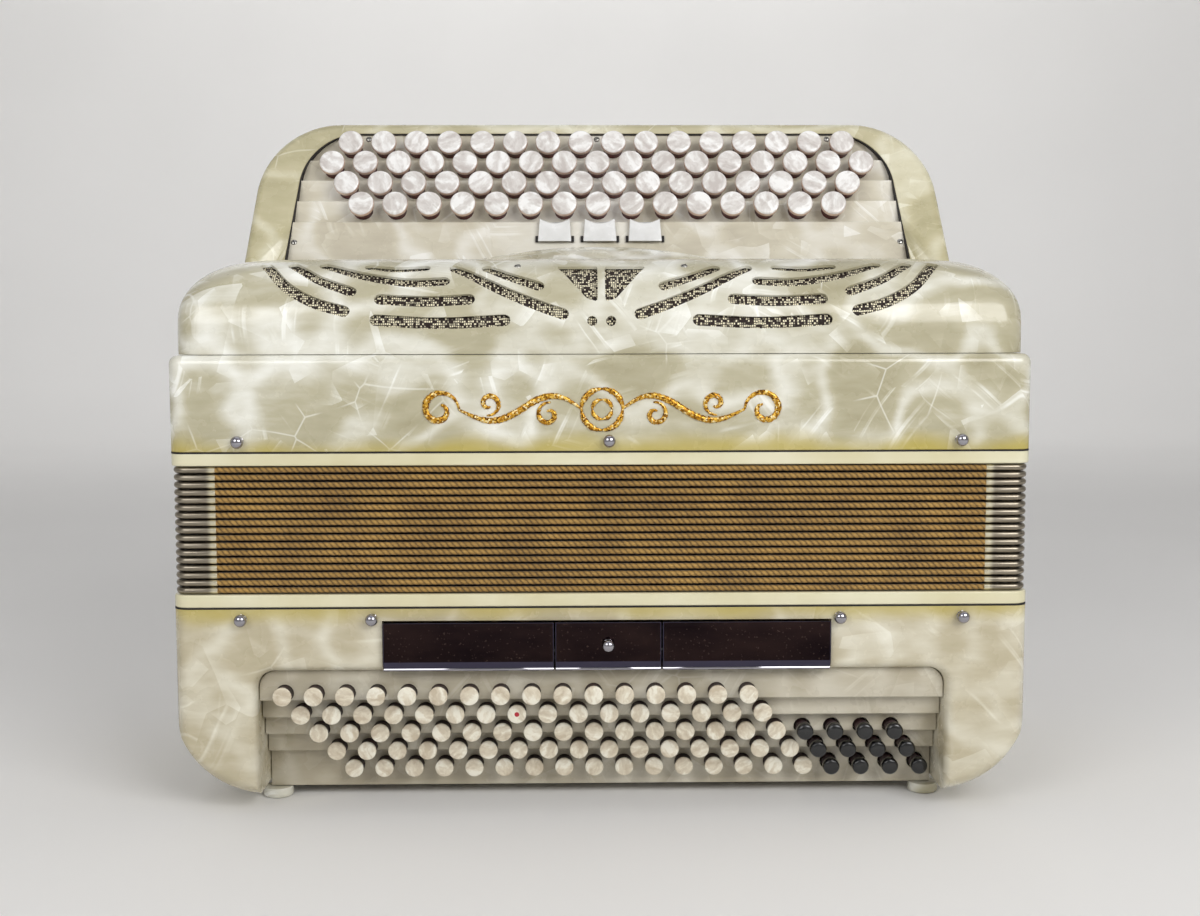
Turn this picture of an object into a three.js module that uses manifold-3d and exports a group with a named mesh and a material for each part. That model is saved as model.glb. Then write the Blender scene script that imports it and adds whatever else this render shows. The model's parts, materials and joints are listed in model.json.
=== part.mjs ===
// A chromatic button accordion, 64 treble and 92 bass buttons, standing on its bass-end feet.
// Millimetres, +Z up along the bellows' travel, +X to the high end of the treble, front face towards -Y.
// Origin: on the floor, at the centre of the bounding box.
import * as THREE from "three";
import { mergeVertices } from "three/addons/utils/BufferGeometryUtils.js";
import Module from "manifold-3d";

const wasm = await Module();
wasm.setup();

// ---- Driving dimensions ----
const WIDTH = 437.5; // cabinets and bellows frames, along X
const DEPTH = 195; // front face to back face
const PROUD_FRONT = 3; // how far the foremost bass buttons stand out of the front face
const PROUD_BACK = 8; // how far the strap brackets stand out of the back face
const GAP = 0.3; // left between two pieces that touch

const BASS_BOTTOM = 9; // cheeks of the bass cabinet, above the floor
const BASS_TOP = 107.5;
const FRAME_HEIGHT = 7; // each of the two bellows frames
const BELLOWS_CLOSED = 65.4;
const FOLDS = 17;
const TREBLE_BOTTOM = BASS_TOP + 2 * FRAME_HEIGHT + BELLOWS_CLOSED;
const TREBLE_TOP = 236;
const WALL = 7; // wooden cabinet walls
const EDGE_RADIUS = 8; // upright edges of the cabinets
const FOOT_RADIUS = 8;

const GRILLE_TOP = 285.5;
const GRILLE_INSET = 4.4; // of the grille cover behind the cabinet's front face
const GRILLE_SIDE_INSET = 2.4;
const GRILLE_BACK = 101; // depth of the cover's rear edge
const GRILLE_ROUND_FRONT = 38;
const GRILLE_ROUND_SIDE = 30;
const SKIN = 2.5; // thickness of the grille cover

const KEYBOARD_TOP = 372.2;
const KEYBOARD_ROUND = 45;
const KEYBOARD_HALF_BASE = 203.2; // half width at the foot of the keyboard case
const KEYBOARD_HALF_TOP = 199.8; // half width where the upper corners begin
const KEYBOARD_WALL = 5;

const TREBLE_PITCH = 19.5; // between neighbours in a row
const TREBLE_ROWS = [16, 17, 16, 15]; // buttons, top row first
const TREBLE_DROP = 12.85; // each row is this much lower than the one above it
const TREBLE_STEP = 10.24; // and this much further forward
const TREBLE_TOP_HEAD = { depth: 150, z: 359.8 }; // face centre of a top-row button
const TREBLE_TILT = THREE.MathUtils.degToRad(20); // button axes point this far upwards
const TREBLE_PROUD = 11; // button face above its tread
const TREBLE_TREAD_ABOVE = 6.2; // tread's upper edge above the button's axis

const BASS_PITCH = 15.89;
const BASS_STAGGER = 8.06; // each row starts this much further along +X
const BASS_FIRST_X = -163.5;
const BASS_TOP_HEAD_Z = 62.2;
const BASS_DROP = 11.28;
const BASS_STEP = 6.6; // each row's tread is this much further back
const BASS_FIRST_TREAD = 6; // depth of the top row's tread
const BASS_WHITE_PROUD = 9;
const BASS_BLACK_PROUD = 12.5;
const BASS_WHITE = 16; // white buttons in every row
const BASS_BLACK = [0, 0, 4, 4, 4]; // black buttons that follow them
const BASS_BLACK_START = 14.6; // from the last white button to the first black one
const BASS_BLACK_PITCH = 15.6;
const BASS_TREAD_BOTTOMS = [58.2, 47.7, 37, 26.3, 5.5];
const WELL_HALF = 177; // half width of the opening that holds the bass button board
const WELL_TOP = 74.5;
const WELL_DEPTH = 56;

const HALF = WIDTH / 2;
const FRONT = -(DEPTH + PROUD_FRONT + PROUD_BACK) / 2 + PROUD_FRONT;
const behind = (depth) => FRONT + depth; // Y of a point this far behind the front face

// ---- Materials ----
const paint = (color, roughness, metalness = 0) => new THREE.MeshStandardMaterial({ color, roughness, metalness });
const PEARL = paint(0xd9d3b8, 0.25);
const CREAM = paint(0xefe9cc, 0.35);
const GOLD_CLOTH = paint(0x8f7440, 0.7, 0.2);
const BUTTON_WHITE = paint(0xf1e9e2, 0.2);
const TAB_WHITE = paint(0xf4f4f2, 0.2);
const CHROME = paint(0xc8c8cc, 0.08, 1);
const STEEL = paint(0x9a9a98, 0.3, 1);
const MESH_BRASS = paint(0x5a4326, 0.45, 0.8);
const WOOD = paint(0xb08a58, 0.6);
const LEATHER = paint(0x2a1d16, 0.7);
const FELT = paint(0x7a1f24, 0.9);

// ---- Solids ----
function solidOf(geometry) {
  const bare = new THREE.BufferGeometry().setAttribute("position", geometry.getAttribute("position"));
  bare.setIndex(geometry.index);
  const merged = mergeVertices(bare, 1e-3);
  const vertProperties = merged.attributes.position.array;
  return new wasm.Manifold(new wasm.Mesh({ numProp: 3, vertProperties, triVerts: new Uint32Array(merged.index.array) }));
}

function geometryOf(solid) {
  const { vertProperties, triVerts } = solid.getMesh();
  const geometry = new THREE.BufferGeometry();
  geometry.setAttribute("position", new THREE.BufferAttribute(vertProperties, 3));
  geometry.setIndex(new THREE.BufferAttribute(triVerts, 1));
  geometry.computeVertexNormals();
  return geometry;
}

// A closed outline swept straight along one axis. The outline is drawn in (Y, Z), (X, Z) or (X, Y).
const SWEEPS = {
  x: new THREE.Matrix4().set(0, 0, 1, 0, 1, 0, 0, 0, 0, 1, 0, 0, 0, 0, 0, 1),
  y: new THREE.Matrix4().set(1, 0, 0, 0, 0, 0, -1, 0, 0, 1, 0, 0, 0, 0, 0, 1),
  z: new THREE.Matrix4(),
};
function sweep(outline, axis, from, to, curveSegments = 6) {
  const geometry = new THREE.ExtrudeGeometry(outline, { depth: to - from, bevelEnabled: false, curveSegments });
  geometry.translate(0, 0, axis === "y" ? -to : from);
  return solidOf(geometry.applyMatrix4(SWEEPS[axis]));
}

const polygon = (points) => new THREE.Shape(points.map(([a, b]) => new THREE.Vector2(a, b)));

function roundedRectangle(left, bottom, right, top, lowerRadius, upperRadius = lowerRadius) {
  const shape = new THREE.Shape();
  const quarter = Math.PI / 2;
  const corners = [
    [left, bottom, 1, 1, lowerRadius, 2],
    [right, bottom, -1, 1, lowerRadius, 3],
    [right, top, -1, -1, upperRadius, 0],
    [left, top, 1, -1, upperRadius, 1],
  ];
  corners.forEach(([x, y, inX, inY, radius, turn], i) => {
    if (radius > 0) {
      shape.absarc(x + inX * radius, y + inY * radius, radius, turn * quarter, (turn + 1) * quarter, false);
    } else if (i === 0) {
      shape.moveTo(x, y);
    } else {
      shape.lineTo(x, y);
    }
  });
  shape.closePath();
  return shape;
}

function block(x0, x1, y0, y1, z0, z1) {
  const geometry = new THREE.BoxGeometry(x1 - x0, y1 - y0, z1 - z0);
  return solidOf(geometry.translate((x0 + x1) / 2, (y0 + y1) / 2, (z0 + z1) / 2));
}

// A round bar along the direction `axis`, from the point `start`.
function bar(start, axis, length, radius, sides) {
  const geometry = new THREE.CylinderGeometry(radius, radius, length, sides).translate(0, length / 2, 0);
  const turn = new THREE.Quaternion().setFromUnitVectors(new THREE.Vector3(0, 1, 0), axis);
  return solidOf(geometry.applyQuaternion(turn).translate(start.x, start.y, start.z));
}

const joined = (solids) => solids.reduce((sum, next) => sum.add(next));

// The plan of the cabinets: a rectangle with rounded upright edges, moved in by `inset` on every side.
const plan = (inset, radius = EDGE_RADIUS) =>
  roundedRectangle(-HALF + inset, behind(inset), HALF - inset, behind(DEPTH - inset), radius);

const group = new THREE.Group();
function place(name, solid, material) {
  const mesh = new THREE.Mesh(geometryOf(solid), material);
  mesh.name = name;
  group.add(mesh);
}

// ---- Bass cabinet ----
const BASS_CORNER = 46; // radius of the cabinet's lower corners
const CHEEK = 4; // thickness of the well's side walls
const RECESS_HALF = 165; // half width of the hand recess in the bass end
const RECESS_FRONT = 58;
const RECESS_SLOPE = 12; // how far back the recess's front wall leans as it rises
const PLATE_UNDERSIDE = 41; // palm plate above the floor
const REGISTER_LEFT = -111.8; // chrome register plates on the front wall
const REGISTER_RIGHT = 116.6;
const REGISTER_BOTTOM = 75;
const REGISTER_TOP = 100;
const REGISTER_SPLITS = [-24.5, 30.3];
const WHEEL = { x: 190, depth: 184, z: 38, radius: 14, width: 8 };
const AIR = { x: 128, z: 74, radius: 7, flange: 2, proud: 5 };

function bassCase() {
  const outline = roundedRectangle(-HALF, BASS_BOTTOM, HALF, BASS_TOP, BASS_CORNER, 0);
  const inner = roundedRectangle(
    -HALF + WALL, BASS_BOTTOM + WALL, HALF - WALL, BASS_TOP + 1, BASS_CORNER - WALL, 0);
  const well = roundedRectangle(-WELL_HALF, 0, WELL_HALF, WELL_TOP, 0, 9);
  const cheeks = [-1, 1].map((side) => block(
    side < 0 ? -WELL_HALF - CHEEK : WELL_HALF - 1, side < 0 ? -WELL_HALF + 1 : WELL_HALF + CHEEK,
    behind(WALL - 1), behind(WELL_DEPTH), BASS_BOTTOM + 2, WELL_TOP + 6));
  return joined([sweep(outline, "y", behind(0), behind(DEPTH), 10)
    .intersect(sweep(plan(0), "z", 0, BASS_TOP))
    .subtract(sweep(inner, "y", behind(WALL), behind(DEPTH - WALL), 8)), ...cheeks])
    .subtract(sweep(well, "y", behind(-1), behind(WELL_DEPTH), 4))
    .subtract(block(REGISTER_LEFT - 0.6, REGISTER_RIGHT + 0.6, behind(-1), behind(WALL + 1), 70, REGISTER_TOP + 0.8))
    .subtract(block(-RECESS_HALF, RECESS_HALF, behind(WELL_DEPTH - 1), behind(DEPTH + 1), 0, PLATE_UNDERSIDE + 4))
    .subtract(block(WHEEL.x - 5, WHEEL.x + 5, behind(DEPTH - WALL - 1), behind(DEPTH + 1), WHEEL.z - 15, WHEEL.z + 15))
    .subtract(bar(new THREE.Vector3(AIR.x, behind(DEPTH - WALL - 1), AIR.z), new THREE.Vector3(0, 1, 0), 9,
      AIR.radius + 0.4, 16));
}
place("bass_case", bassCase(), PEARL);

// The tub that closes the hand recess: a palm plate, two end walls and a sloping front.
function bassEndCover() {
  const sheet = 3.5;
  const outer = polygon([
    [behind(RECESS_FRONT), BASS_BOTTOM], [behind(RECESS_FRONT + sheet), BASS_BOTTOM],
    [behind(RECESS_FRONT + RECESS_SLOPE + sheet), PLATE_UNDERSIDE], [behind(DEPTH - 0.5), PLATE_UNDERSIDE],
    [behind(DEPTH - 0.5), PLATE_UNDERSIDE + sheet], [behind(RECESS_FRONT + RECESS_SLOPE), PLATE_UNDERSIDE + sheet],
  ]);
  const half = RECESS_HALF - GAP;
  const ends = [-1, 1].map((side) => block(
    side < 0 ? -half : half - 4, side < 0 ? -half + 4 : half,
    behind(RECESS_FRONT + 3), behind(DEPTH - 0.5), BASS_BOTTOM, PLATE_UNDERSIDE + 1));
  return joined([sweep(outer, "x", -half, half), ...ends]);
}
place("bass_end_cover", bassEndCover(), PEARL);

// The leather hand strap: straight across the recess, its ends turned up against the tub's end walls.
const STRAP = { front: 100, back: 166, thickness: 3, z: 9.5 };
function bassStrap() {
  const half = RECESS_HALF - 4 - 2 * GAP;
  const outline = polygon([
    [-half, STRAP.z], [half, STRAP.z], [half, STRAP.z + 18], [half - STRAP.thickness, STRAP.z + 18],
    [half - STRAP.thickness, STRAP.z + STRAP.thickness], [-half + STRAP.thickness, STRAP.z + STRAP.thickness],
    [-half + STRAP.thickness, STRAP.z + 18], [-half, STRAP.z + 18],
  ]);
  return sweep(outline, "y", behind(STRAP.front), behind(STRAP.back));
}
place("bass_strap", bassStrap(), LEATHER);

const X_AXIS = new THREE.Vector3(1, 0, 0);
place("strap_adjuster_wheel",
  bar(new THREE.Vector3(WHEEL.x - WHEEL.width / 2, behind(WHEEL.depth), WHEEL.z), X_AXIS, WHEEL.width, WHEEL.radius, 24),
  STEEL);

// The thumb button of the air valve: a flanged plunger through the back wall.
function airButton() {
  const start = (depth) => new THREE.Vector3(AIR.x, behind(depth), AIR.z);
  const back = new THREE.Vector3(0, 1, 0);
  const flange = DEPTH - WALL - GAP - AIR.flange;
  return bar(start(flange - 8), back, DEPTH + AIR.proud - flange + 8, AIR.radius, 16)
    .add(bar(start(flange), back, AIR.flange, AIR.radius + 2, 16));
}
place("air_button", airButton(), BUTTON_WHITE);

// ---- Feet ----
const FOOT_X = 173.3;
const FOOT_DEPTHS = { front: 34, rear: 161 };
const BOARD_BOTTOM = BASS_TREAD_BOTTOMS.at(-1);
for (const [end, depth] of Object.entries(FOOT_DEPTHS)) {
  for (const [side, sign] of [["left", -1], ["right", 1]]) {
    const start = new THREE.Vector3(sign * FOOT_X, behind(depth), 0);
    const foot = bar(start, new THREE.Vector3(0, 0, 1), BASS_BOTTOM - GAP, FOOT_RADIUS, 20)
      .subtract(block(-WELL_HALF - GAP, WELL_HALF + GAP, behind(0), behind(WELL_DEPTH + 2), BOARD_BOTTOM - GAP, 20));
    place(`foot_${end}_${side}`, foot, CREAM);
  }
}

// ---- Bass button board: five treads, each lower one further back ----
const bassTread = (row) => BASS_FIRST_TREAD + BASS_STEP * row;
const bassRowZ = (row) => BASS_TOP_HEAD_Z - BASS_DROP * row;
function bassButtonX(row, index) {
  const first = BASS_FIRST_X + BASS_STAGGER * row;
  if (index < BASS_WHITE) return first + BASS_PITCH * index;
  return first + BASS_PITCH * (BASS_WHITE - 1) + BASS_BLACK_START + BASS_BLACK_PITCH * (index - BASS_WHITE);
}
const BASS_ROWS = BASS_TREAD_BOTTOMS.length;
const BASS_STEM = 3.3; // radius of a stem
const BASS_SLOT = 3.7; // half height of the slot it runs in
const BOARD_THICKNESS = 4;
const BOARD_LIP_BACK = RECESS_FRONT - GAP;
function bassBoard() {
  const top = WELL_TOP - GAP;
  const points = [[behind(bassTread(0)), top]];
  BASS_TREAD_BOTTOMS.forEach((bottom, row) => {
    points.push([behind(bassTread(row)), bottom]);
    if (row < BASS_ROWS - 1) points.push([behind(bassTread(row + 1)), bottom]);
  });
  const last = bassTread(BASS_ROWS - 1) + BOARD_THICKNESS;
  points.push([behind(BOARD_LIP_BACK), BOARD_BOTTOM], [behind(BOARD_LIP_BACK), BASS_BOTTOM - GAP],
    [behind(last), BASS_BOTTOM - GAP], [behind(last), bassRowZ(BASS_ROWS - 1) + 9.5],
    [behind(bassTread(0) + BOARD_THICKNESS + 1), top]);
  const well = roundedRectangle(-WELL_HALF + GAP, 0, WELL_HALF - GAP, top, 0, 9);
  const slots = [...Array(BASS_ROWS).keys()].map((row) => {
    const last = BASS_WHITE + BASS_BLACK[row] - 1;
    return block(bassButtonX(row, 0) - BASS_SLOT, bassButtonX(row, last) + BASS_SLOT, behind(0), behind(60),
      bassRowZ(row) - BASS_SLOT, bassRowZ(row) + BASS_SLOT);
  });
  return slots.reduce(
    (board, slot) => board.subtract(slot),
    sweep(polygon(points), "x", -WELL_HALF + GAP, WELL_HALF - GAP)
      .intersect(sweep(well, "y", behind(0), behind(RECESS_FRONT), 4)),
  );
}
place("bass_button_board", bassBoard(), PEARL);

// A row of bass buttons: heads on stems through the board, carried by one rail behind it.
function bassRow(row) {
  const inwards = new THREE.Vector3(0, 1, 0);
  const tread = bassTread(row);
  const z = bassRowZ(row);
  const count = BASS_WHITE + BASS_BLACK[row];
  const rail = tread + 14;
  const parts = [block(bassButtonX(row, 0) - 4, bassButtonX(row, count - 1) + 4, behind(rail), behind(rail + 3),
    z - BASS_STEM - 0.4, z + BASS_STEM + 0.4)];
  for (let i = 0; i < count; i++) {
    const face = tread - (i < BASS_WHITE ? BASS_WHITE_PROUD : BASS_BLACK_PROUD);
    const headRadius = i < BASS_WHITE ? 4.9 : 4.4;
    const x = bassButtonX(row, i);
    parts.push(bar(new THREE.Vector3(x, behind(face), z), inwards, 5, headRadius, 8));
    parts.push(bar(new THREE.Vector3(x, behind(face + 4), z), inwards, rail - face - 3, BASS_STEM, 4));
  }
  return joined(parts);
}
for (let row = 0; row < BASS_ROWS; row++) {
  place(`bass_button_row_${"abcde"[row]}`, bassRow(row), BUTTON_WHITE);
}

// ---- Bass registers: two rocking plates and the fixed plate between them ----
const PLATE_THICKNESS = 2;
function registerPlate(left, right) {
  const profile = polygon([
    [behind(-PROUD_FRONT + 0.6), REGISTER_TOP], [behind(-PROUD_FRONT), REGISTER_TOP - 2],
    [behind(-PROUD_FRONT), REGISTER_BOTTOM + 3], [behind(-PROUD_FRONT + 1), REGISTER_BOTTOM],
    [behind(-PROUD_FRONT + PLATE_THICKNESS + 1), REGISTER_BOTTOM],
    [behind(-PROUD_FRONT + PLATE_THICKNESS), REGISTER_BOTTOM + 3],
    [behind(-PROUD_FRONT + PLATE_THICKNESS), REGISTER_TOP],
  ]);
  return sweep(profile, "x", left, right);
}
const [leftSplit, rightSplit] = REGISTER_SPLITS;
place("bass_register_left", registerPlate(REGISTER_LEFT, leftSplit - 0.4), CHROME);
place("bass_register_centre", registerPlate(leftSplit + 0.4, rightSplit - 0.4), CHROME);
place("bass_register_right", registerPlate(rightSplit + 0.4, REGISTER_RIGHT), CHROME);

// ---- Inside the bass cabinet ----
function soundboard(z0, z1, slotDepths) {
  const inset = WALL + GAP;
  let board = sweep(plan(inset, 4), "z", z0, z1, 3);
  for (const depth of slotDepths) {
    board = board.subtract(block(-170, 170, behind(depth - 5), behind(depth + 5), z0 - 1, z1 + 1));
  }
  return board;
}
const BASS_SOUNDBOARD_TOP = 104;
place("bass_soundboard", soundboard(BASS_SOUNDBOARD_TOP - 5, BASS_SOUNDBOARD_TOP, [97.5]), WOOD);

// A reed block: a tapered wooden bar with an air channel open along its foot.
function reedBlock(depth, foot, tip) {
  const towards = Math.sign(tip - foot);
  const profile = polygon([
    [behind(depth - 11), foot], [behind(depth - 3), foot], [behind(depth - 2), tip - towards * 5],
    [behind(depth + 2), tip - towards * 5], [behind(depth + 3), foot], [behind(depth + 11), foot],
    [behind(depth + 7), tip], [behind(depth - 7), tip],
  ]);
  return sweep(profile, "x", -175, 175);
}
place("bass_reed_block", reedBlock(97.5, BASS_SOUNDBOARD_TOP + GAP, BASS_SOUNDBOARD_TOP + 46), WOOD);

// ---- Bellows ----
const PLEAT = 24; // depth of a fold, outside to inside
function ring(inset, width, z0, z1, radius) {
  const hole = roundedRectangle(
    -HALF + inset + width, behind(inset + width), HALF - inset - width, behind(DEPTH - inset - width), 2);
  return sweep(plan(inset, radius), "z", z0, z1, 2).subtract(sweep(hole, "z", z0 - 1, z1 + 1, 1));
}
place("bass_bellows_frame", ring(0, 12, BASS_TOP + GAP, BASS_TOP + FRAME_HEIGHT, EDGE_RADIUS), CREAM);
const FOLD_PITCH = BELLOWS_CLOSED / FOLDS;
for (let fold = 0; fold < FOLDS; fold++) {
  const z0 = BASS_TOP + FRAME_HEIGHT + FOLD_PITCH * fold + GAP;
  place(`bellows_fold_${String(fold + 1).padStart(2, "0")}`, ring(0.8, PLEAT, z0, z0 + FOLD_PITCH - GAP, 7), GOLD_CLOTH);
}
place("treble_bellows_frame",
  ring(0, 12, TREBLE_BOTTOM - FRAME_HEIGHT + GAP, TREBLE_BOTTOM, EDGE_RADIUS), CREAM);

// ---- Treble cabinet ----
const TOP_PLATE = 4; // thickness of the cabinet's top, open under the grille cover and under the keyboard
function trebleCase() {
  return sweep(plan(0), "z", TREBLE_BOTTOM + GAP, TREBLE_TOP)
    .subtract(sweep(plan(WALL, 4), "z", TREBLE_BOTTOM - 1, TREBLE_TOP - TOP_PLATE, 3))
    .subtract(block(-205, 205, behind(11), behind(97), TREBLE_TOP - TOP_PLATE - 1, TREBLE_TOP + 1))
    .subtract(block(-192, 192, behind(107), behind(186), TREBLE_TOP - TOP_PLATE - 1, TREBLE_TOP + 1));
}
place("treble_case", trebleCase(), PEARL);
const TREBLE_SOUNDBOARD_TOP = 206;
const PALLET_DEPTHS = [28, 62, 96];
place("treble_soundboard", soundboard(TREBLE_SOUNDBOARD_TOP - 6, TREBLE_SOUNDBOARD_TOP, PALLET_DEPTHS), WOOD);
[60, 135].forEach((depth, i) => {
  const foot = TREBLE_SOUNDBOARD_TOP - 6 - GAP;
  place(`treble_reed_block_${i + 1}`, reedBlock(depth, foot, foot - 50), WOOD);
});

// Pallets: felted pads over the soundboard's slots, cut as one comb for each set of buttons.
const PALLET = { count: 16, pitch: 21, half: 8, front: 12, back: 8, thickness: 6 };
function palletComb(depth) {
  const points = [];
  for (let i = 0; i < PALLET.count; i++) {
    const x = (i - (PALLET.count - 1) / 2) * PALLET.pitch;
    points.push([x - PALLET.half, behind(depth)], [x - PALLET.half, behind(depth - PALLET.front)],
      [x + PALLET.half, behind(depth - PALLET.front)], [x + PALLET.half, behind(depth)]);
  }
  points.push([points.at(-1)[0], behind(depth + PALLET.back)], [points[0][0], behind(depth + PALLET.back)]);
  const z0 = TREBLE_SOUNDBOARD_TOP + GAP;
  return sweep(polygon(points), "z", z0, z0 + PALLET.thickness);
}
PALLET_DEPTHS.forEach((depth, i) => place(`treble_pallets_${i + 1}`, palletComb(depth), FELT));

// ---- Grille cover: a pillow over the front of the treble cabinet, pierced by slots ----
function grilleBody(inset, bottom) {
  const top = GRILLE_TOP - inset;
  const back = GRILLE_BACK - inset;
  const side = roundedRectangle(-HALF + GRILLE_SIDE_INSET + inset, bottom, HALF - GRILLE_SIDE_INSET - inset, top, 0,
    GRILLE_ROUND_SIDE - inset);
  const profile = new THREE.Shape();
  const front = behind(GRILLE_INSET + inset);
  const round = GRILLE_ROUND_FRONT - inset;
  profile.moveTo(front, bottom);
  profile.lineTo(behind(back), bottom);
  profile.lineTo(behind(back), top);
  profile.absarc(front + round, top - round, round, Math.PI / 2, Math.PI, false);
  const outline = roundedRectangle(-HALF + GRILLE_SIDE_INSET + inset, front, HALF - GRILLE_SIDE_INSET - inset,
    behind(back), 10, 0);
  return sweep(side, "y", behind(0), behind(back), 5)
    .intersect(sweep(profile, "x", -HALF, HALF, 5))
    .intersect(sweep(outline, "z", bottom, top + 1, 4));
}

// A slot's middle line as (X, angle round the front curve in degrees), and its width.
const SLOTS = [
  { line: [[-114, 9], [-82, 6.6], [-49, 8.8]], width: 6 },
  { line: [[-112, 25.7], [-89, 23.9], [-67, 25.6]], width: 6 },
  { line: [[-142, 63], [-123, 49.5], [-100, 41.5], [-80, 42.5]], width: 6 },
  { line: [[-119, 60.5], [-105, 57], [-90, 59]], width: 5 },
  { line: [[-172, 63], [-160.5, 38], [-146, 23.5], [-130, 16]], width: 6 },
  { line: [[-158, 63], [-144, 44.5], [-127, 32.5]], width: 6 },
  { line: [[-75, 58], [-54, 36.5], [-36, 23], [-19.5, 13.5]], width: 6 },
  { line: [[-58.5, 58], [-47, 47.5], [-32, 37.5]], width: 6 },
  { line: [[-4.8, 10], [-4.8, 6]], width: 5 },
];
function slotCutters({ line, width }, side) {
  const meanAngle = line.reduce((sum, [, angle]) => sum + angle, 0) / line.length;
  const perDegree = THREE.MathUtils.degToRad(GRILLE_ROUND_FRONT);
  const points = line.map(([x, angle]) => new THREE.Vector2(side * x, (angle - meanAngle) * perDegree));
  const curve = new THREE.SplineCurve(points);
  const steps = line.length > 2 ? 6 : 2;
  const path = curve.getSpacedPoints(steps);
  const edge = (sign) => path.map((point, i) => {
    const along = curve.getTangentAt(i / steps);
    return [point.x - sign * along.y * width / 2, point.y + sign * along.x * width / 2];
  });
  const outline = polygon([...edge(1), ...edge(-1).reverse()]);
  const turn = THREE.MathUtils.degToRad(90 - meanAngle);
  const geometry = new THREE.ExtrudeGeometry(outline, { depth: 14, bevelEnabled: false });
  geometry.translate(0, 0, GRILLE_ROUND_FRONT - 9).rotateX(turn);
  geometry.translate(0, behind(GRILLE_INSET + GRILLE_ROUND_FRONT), GRILLE_TOP - GRILLE_ROUND_FRONT);
  return solidOf(geometry);
}
function fanCutter(side) {
  const outline = polygon([[side * 2.7, 9], [side * 22, 9], [side * 14, -4], [side * 7, -13], [side * 2.7, -14]]);
  const geometry = new THREE.ExtrudeGeometry(outline, { depth: 14, bevelEnabled: false });
  geometry.translate(0, 0, GRILLE_ROUND_FRONT - 9).rotateX(THREE.MathUtils.degToRad(90 - 46));
  geometry.translate(0, behind(GRILLE_INSET + GRILLE_ROUND_FRONT), GRILLE_TOP - GRILLE_ROUND_FRONT);
  return solidOf(geometry);
}
// The low hump that leads up to the register tabs.
const HUMP = { half: 80, rise: 10, front: 84 };
function hump() {
  const shape = new THREE.Shape();
  const radius = (HUMP.half ** 2 + HUMP.rise ** 2) / (2 * HUMP.rise);
  const reach = Math.asin(HUMP.half / radius);
  shape.absarc(0, GRILLE_TOP - 1 + HUMP.rise - radius, radius, Math.PI / 2 - reach, Math.PI / 2 + reach, false);
  return sweep(shape, "y", behind(HUMP.front), behind(GRILLE_BACK), 10);
}
function grilleCover() {
  const shell = grilleBody(0, TREBLE_TOP + GAP).subtract(grilleBody(SKIN, TREBLE_TOP - 1));
  const cutters = [1, -1].flatMap((side) => [fanCutter(side), ...SLOTS.map((slot) => slotCutters(slot, side))]);
  return cutters.reduce((cover, cutter) => cover.subtract(cutter), shell.add(hump()));
}
place("grille_cover", grilleCover(), PEARL);

// The woven screen behind the slots: a thin sheet that follows the inside of the cover.
function grilleScreen() {
  const centre = [behind(GRILLE_INSET + GRILLE_ROUND_FRONT), GRILLE_TOP - GRILLE_ROUND_FRONT];
  const arc = (radius, clockwise) => {
    const path = new THREE.Path();
    const ends = clockwise ? [Math.PI, Math.PI / 2] : [Math.PI / 2, Math.PI];
    path.absarc(...centre, radius, ...ends, clockwise);
    return path.getPoints(8).map(({ x, y }) => [x, y]);
  };
  const outer = GRILLE_ROUND_FRONT - SKIN - 0.4;
  const lower = TREBLE_TOP + 3;
  const sheet = polygon([
    [centre[0] - outer, lower], ...arc(outer, true), [behind(78), centre[1] + outer],
    [behind(78), centre[1] + outer - 0.8], ...arc(outer - 0.8, false), [centre[0] - outer + 0.8, lower],
  ]);
  return sweep(sheet, "x", -182, 182);
}
place("grille_screen", grilleScreen(), MESH_BRASS);

// ---- Keyboard ----
const axisOut = { depth: -Math.cos(TREBLE_TILT), z: Math.sin(TREBLE_TILT) };
const treadUp = { depth: Math.sin(TREBLE_TILT), z: Math.cos(TREBLE_TILT) };
const head = (row) => ({ depth: TREBLE_TOP_HEAD.depth - TREBLE_STEP * row, z: TREBLE_TOP_HEAD.z - TREBLE_DROP * row });
const root = (row) => ({
  depth: head(row).depth - axisOut.depth * TREBLE_PROUD,
  z: head(row).z - axisOut.z * TREBLE_PROUD,
});
const ROW_COUNT = TREBLE_ROWS.length;
const TREAD_LENGTH = TREBLE_DROP * Math.cos(TREBLE_TILT) + TREBLE_STEP * Math.sin(TREBLE_TILT);
const onTread = (row, up) => [behind(root(row).depth + treadUp.depth * up), root(row).z + treadUp.z * up];

// The case's front face is a slope that the treads straddle.
const SLOPE_TOP = { depth: 167, z: KEYBOARD_TOP };
const SLOPE_FOOT = { depth: 104, z: 287 };
const APRON_FOOT = { depth: 110, z: 287 };
const KEYBOARD_FRONT = GRILLE_BACK + GAP;

function keyboardOutline(inset, bottom) {
  const shape = new THREE.Shape();
  const baseHalf = KEYBOARD_HALF_BASE - inset;
  const topHalf = KEYBOARD_HALF_TOP - inset;
  const round = KEYBOARD_ROUND - inset;
  const top = KEYBOARD_TOP - inset;
  shape.moveTo(-baseHalf, bottom);
  shape.lineTo(baseHalf, bottom);
  shape.absarc(topHalf - round, top - round, round, 0, Math.PI / 2, false);
  shape.absarc(-topHalf + round, top - round, round, Math.PI / 2, Math.PI, false);
  shape.closePath();
  return shape;
}
const keyboardProfile = (inset, bottom) => polygon([
  [behind(KEYBOARD_FRONT + inset), bottom], [behind(DEPTH - inset), bottom],
  [behind(DEPTH - inset), KEYBOARD_TOP - 10 - inset], [behind(DEPTH - inset - 10), KEYBOARD_TOP - inset],
  [behind(SLOPE_TOP.depth + inset / 2), KEYBOARD_TOP - inset], [behind(SLOPE_FOOT.depth + inset), SLOPE_FOOT.z],
  [behind(KEYBOARD_FRONT + inset), SLOPE_FOOT.z - 4],
]);
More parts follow.
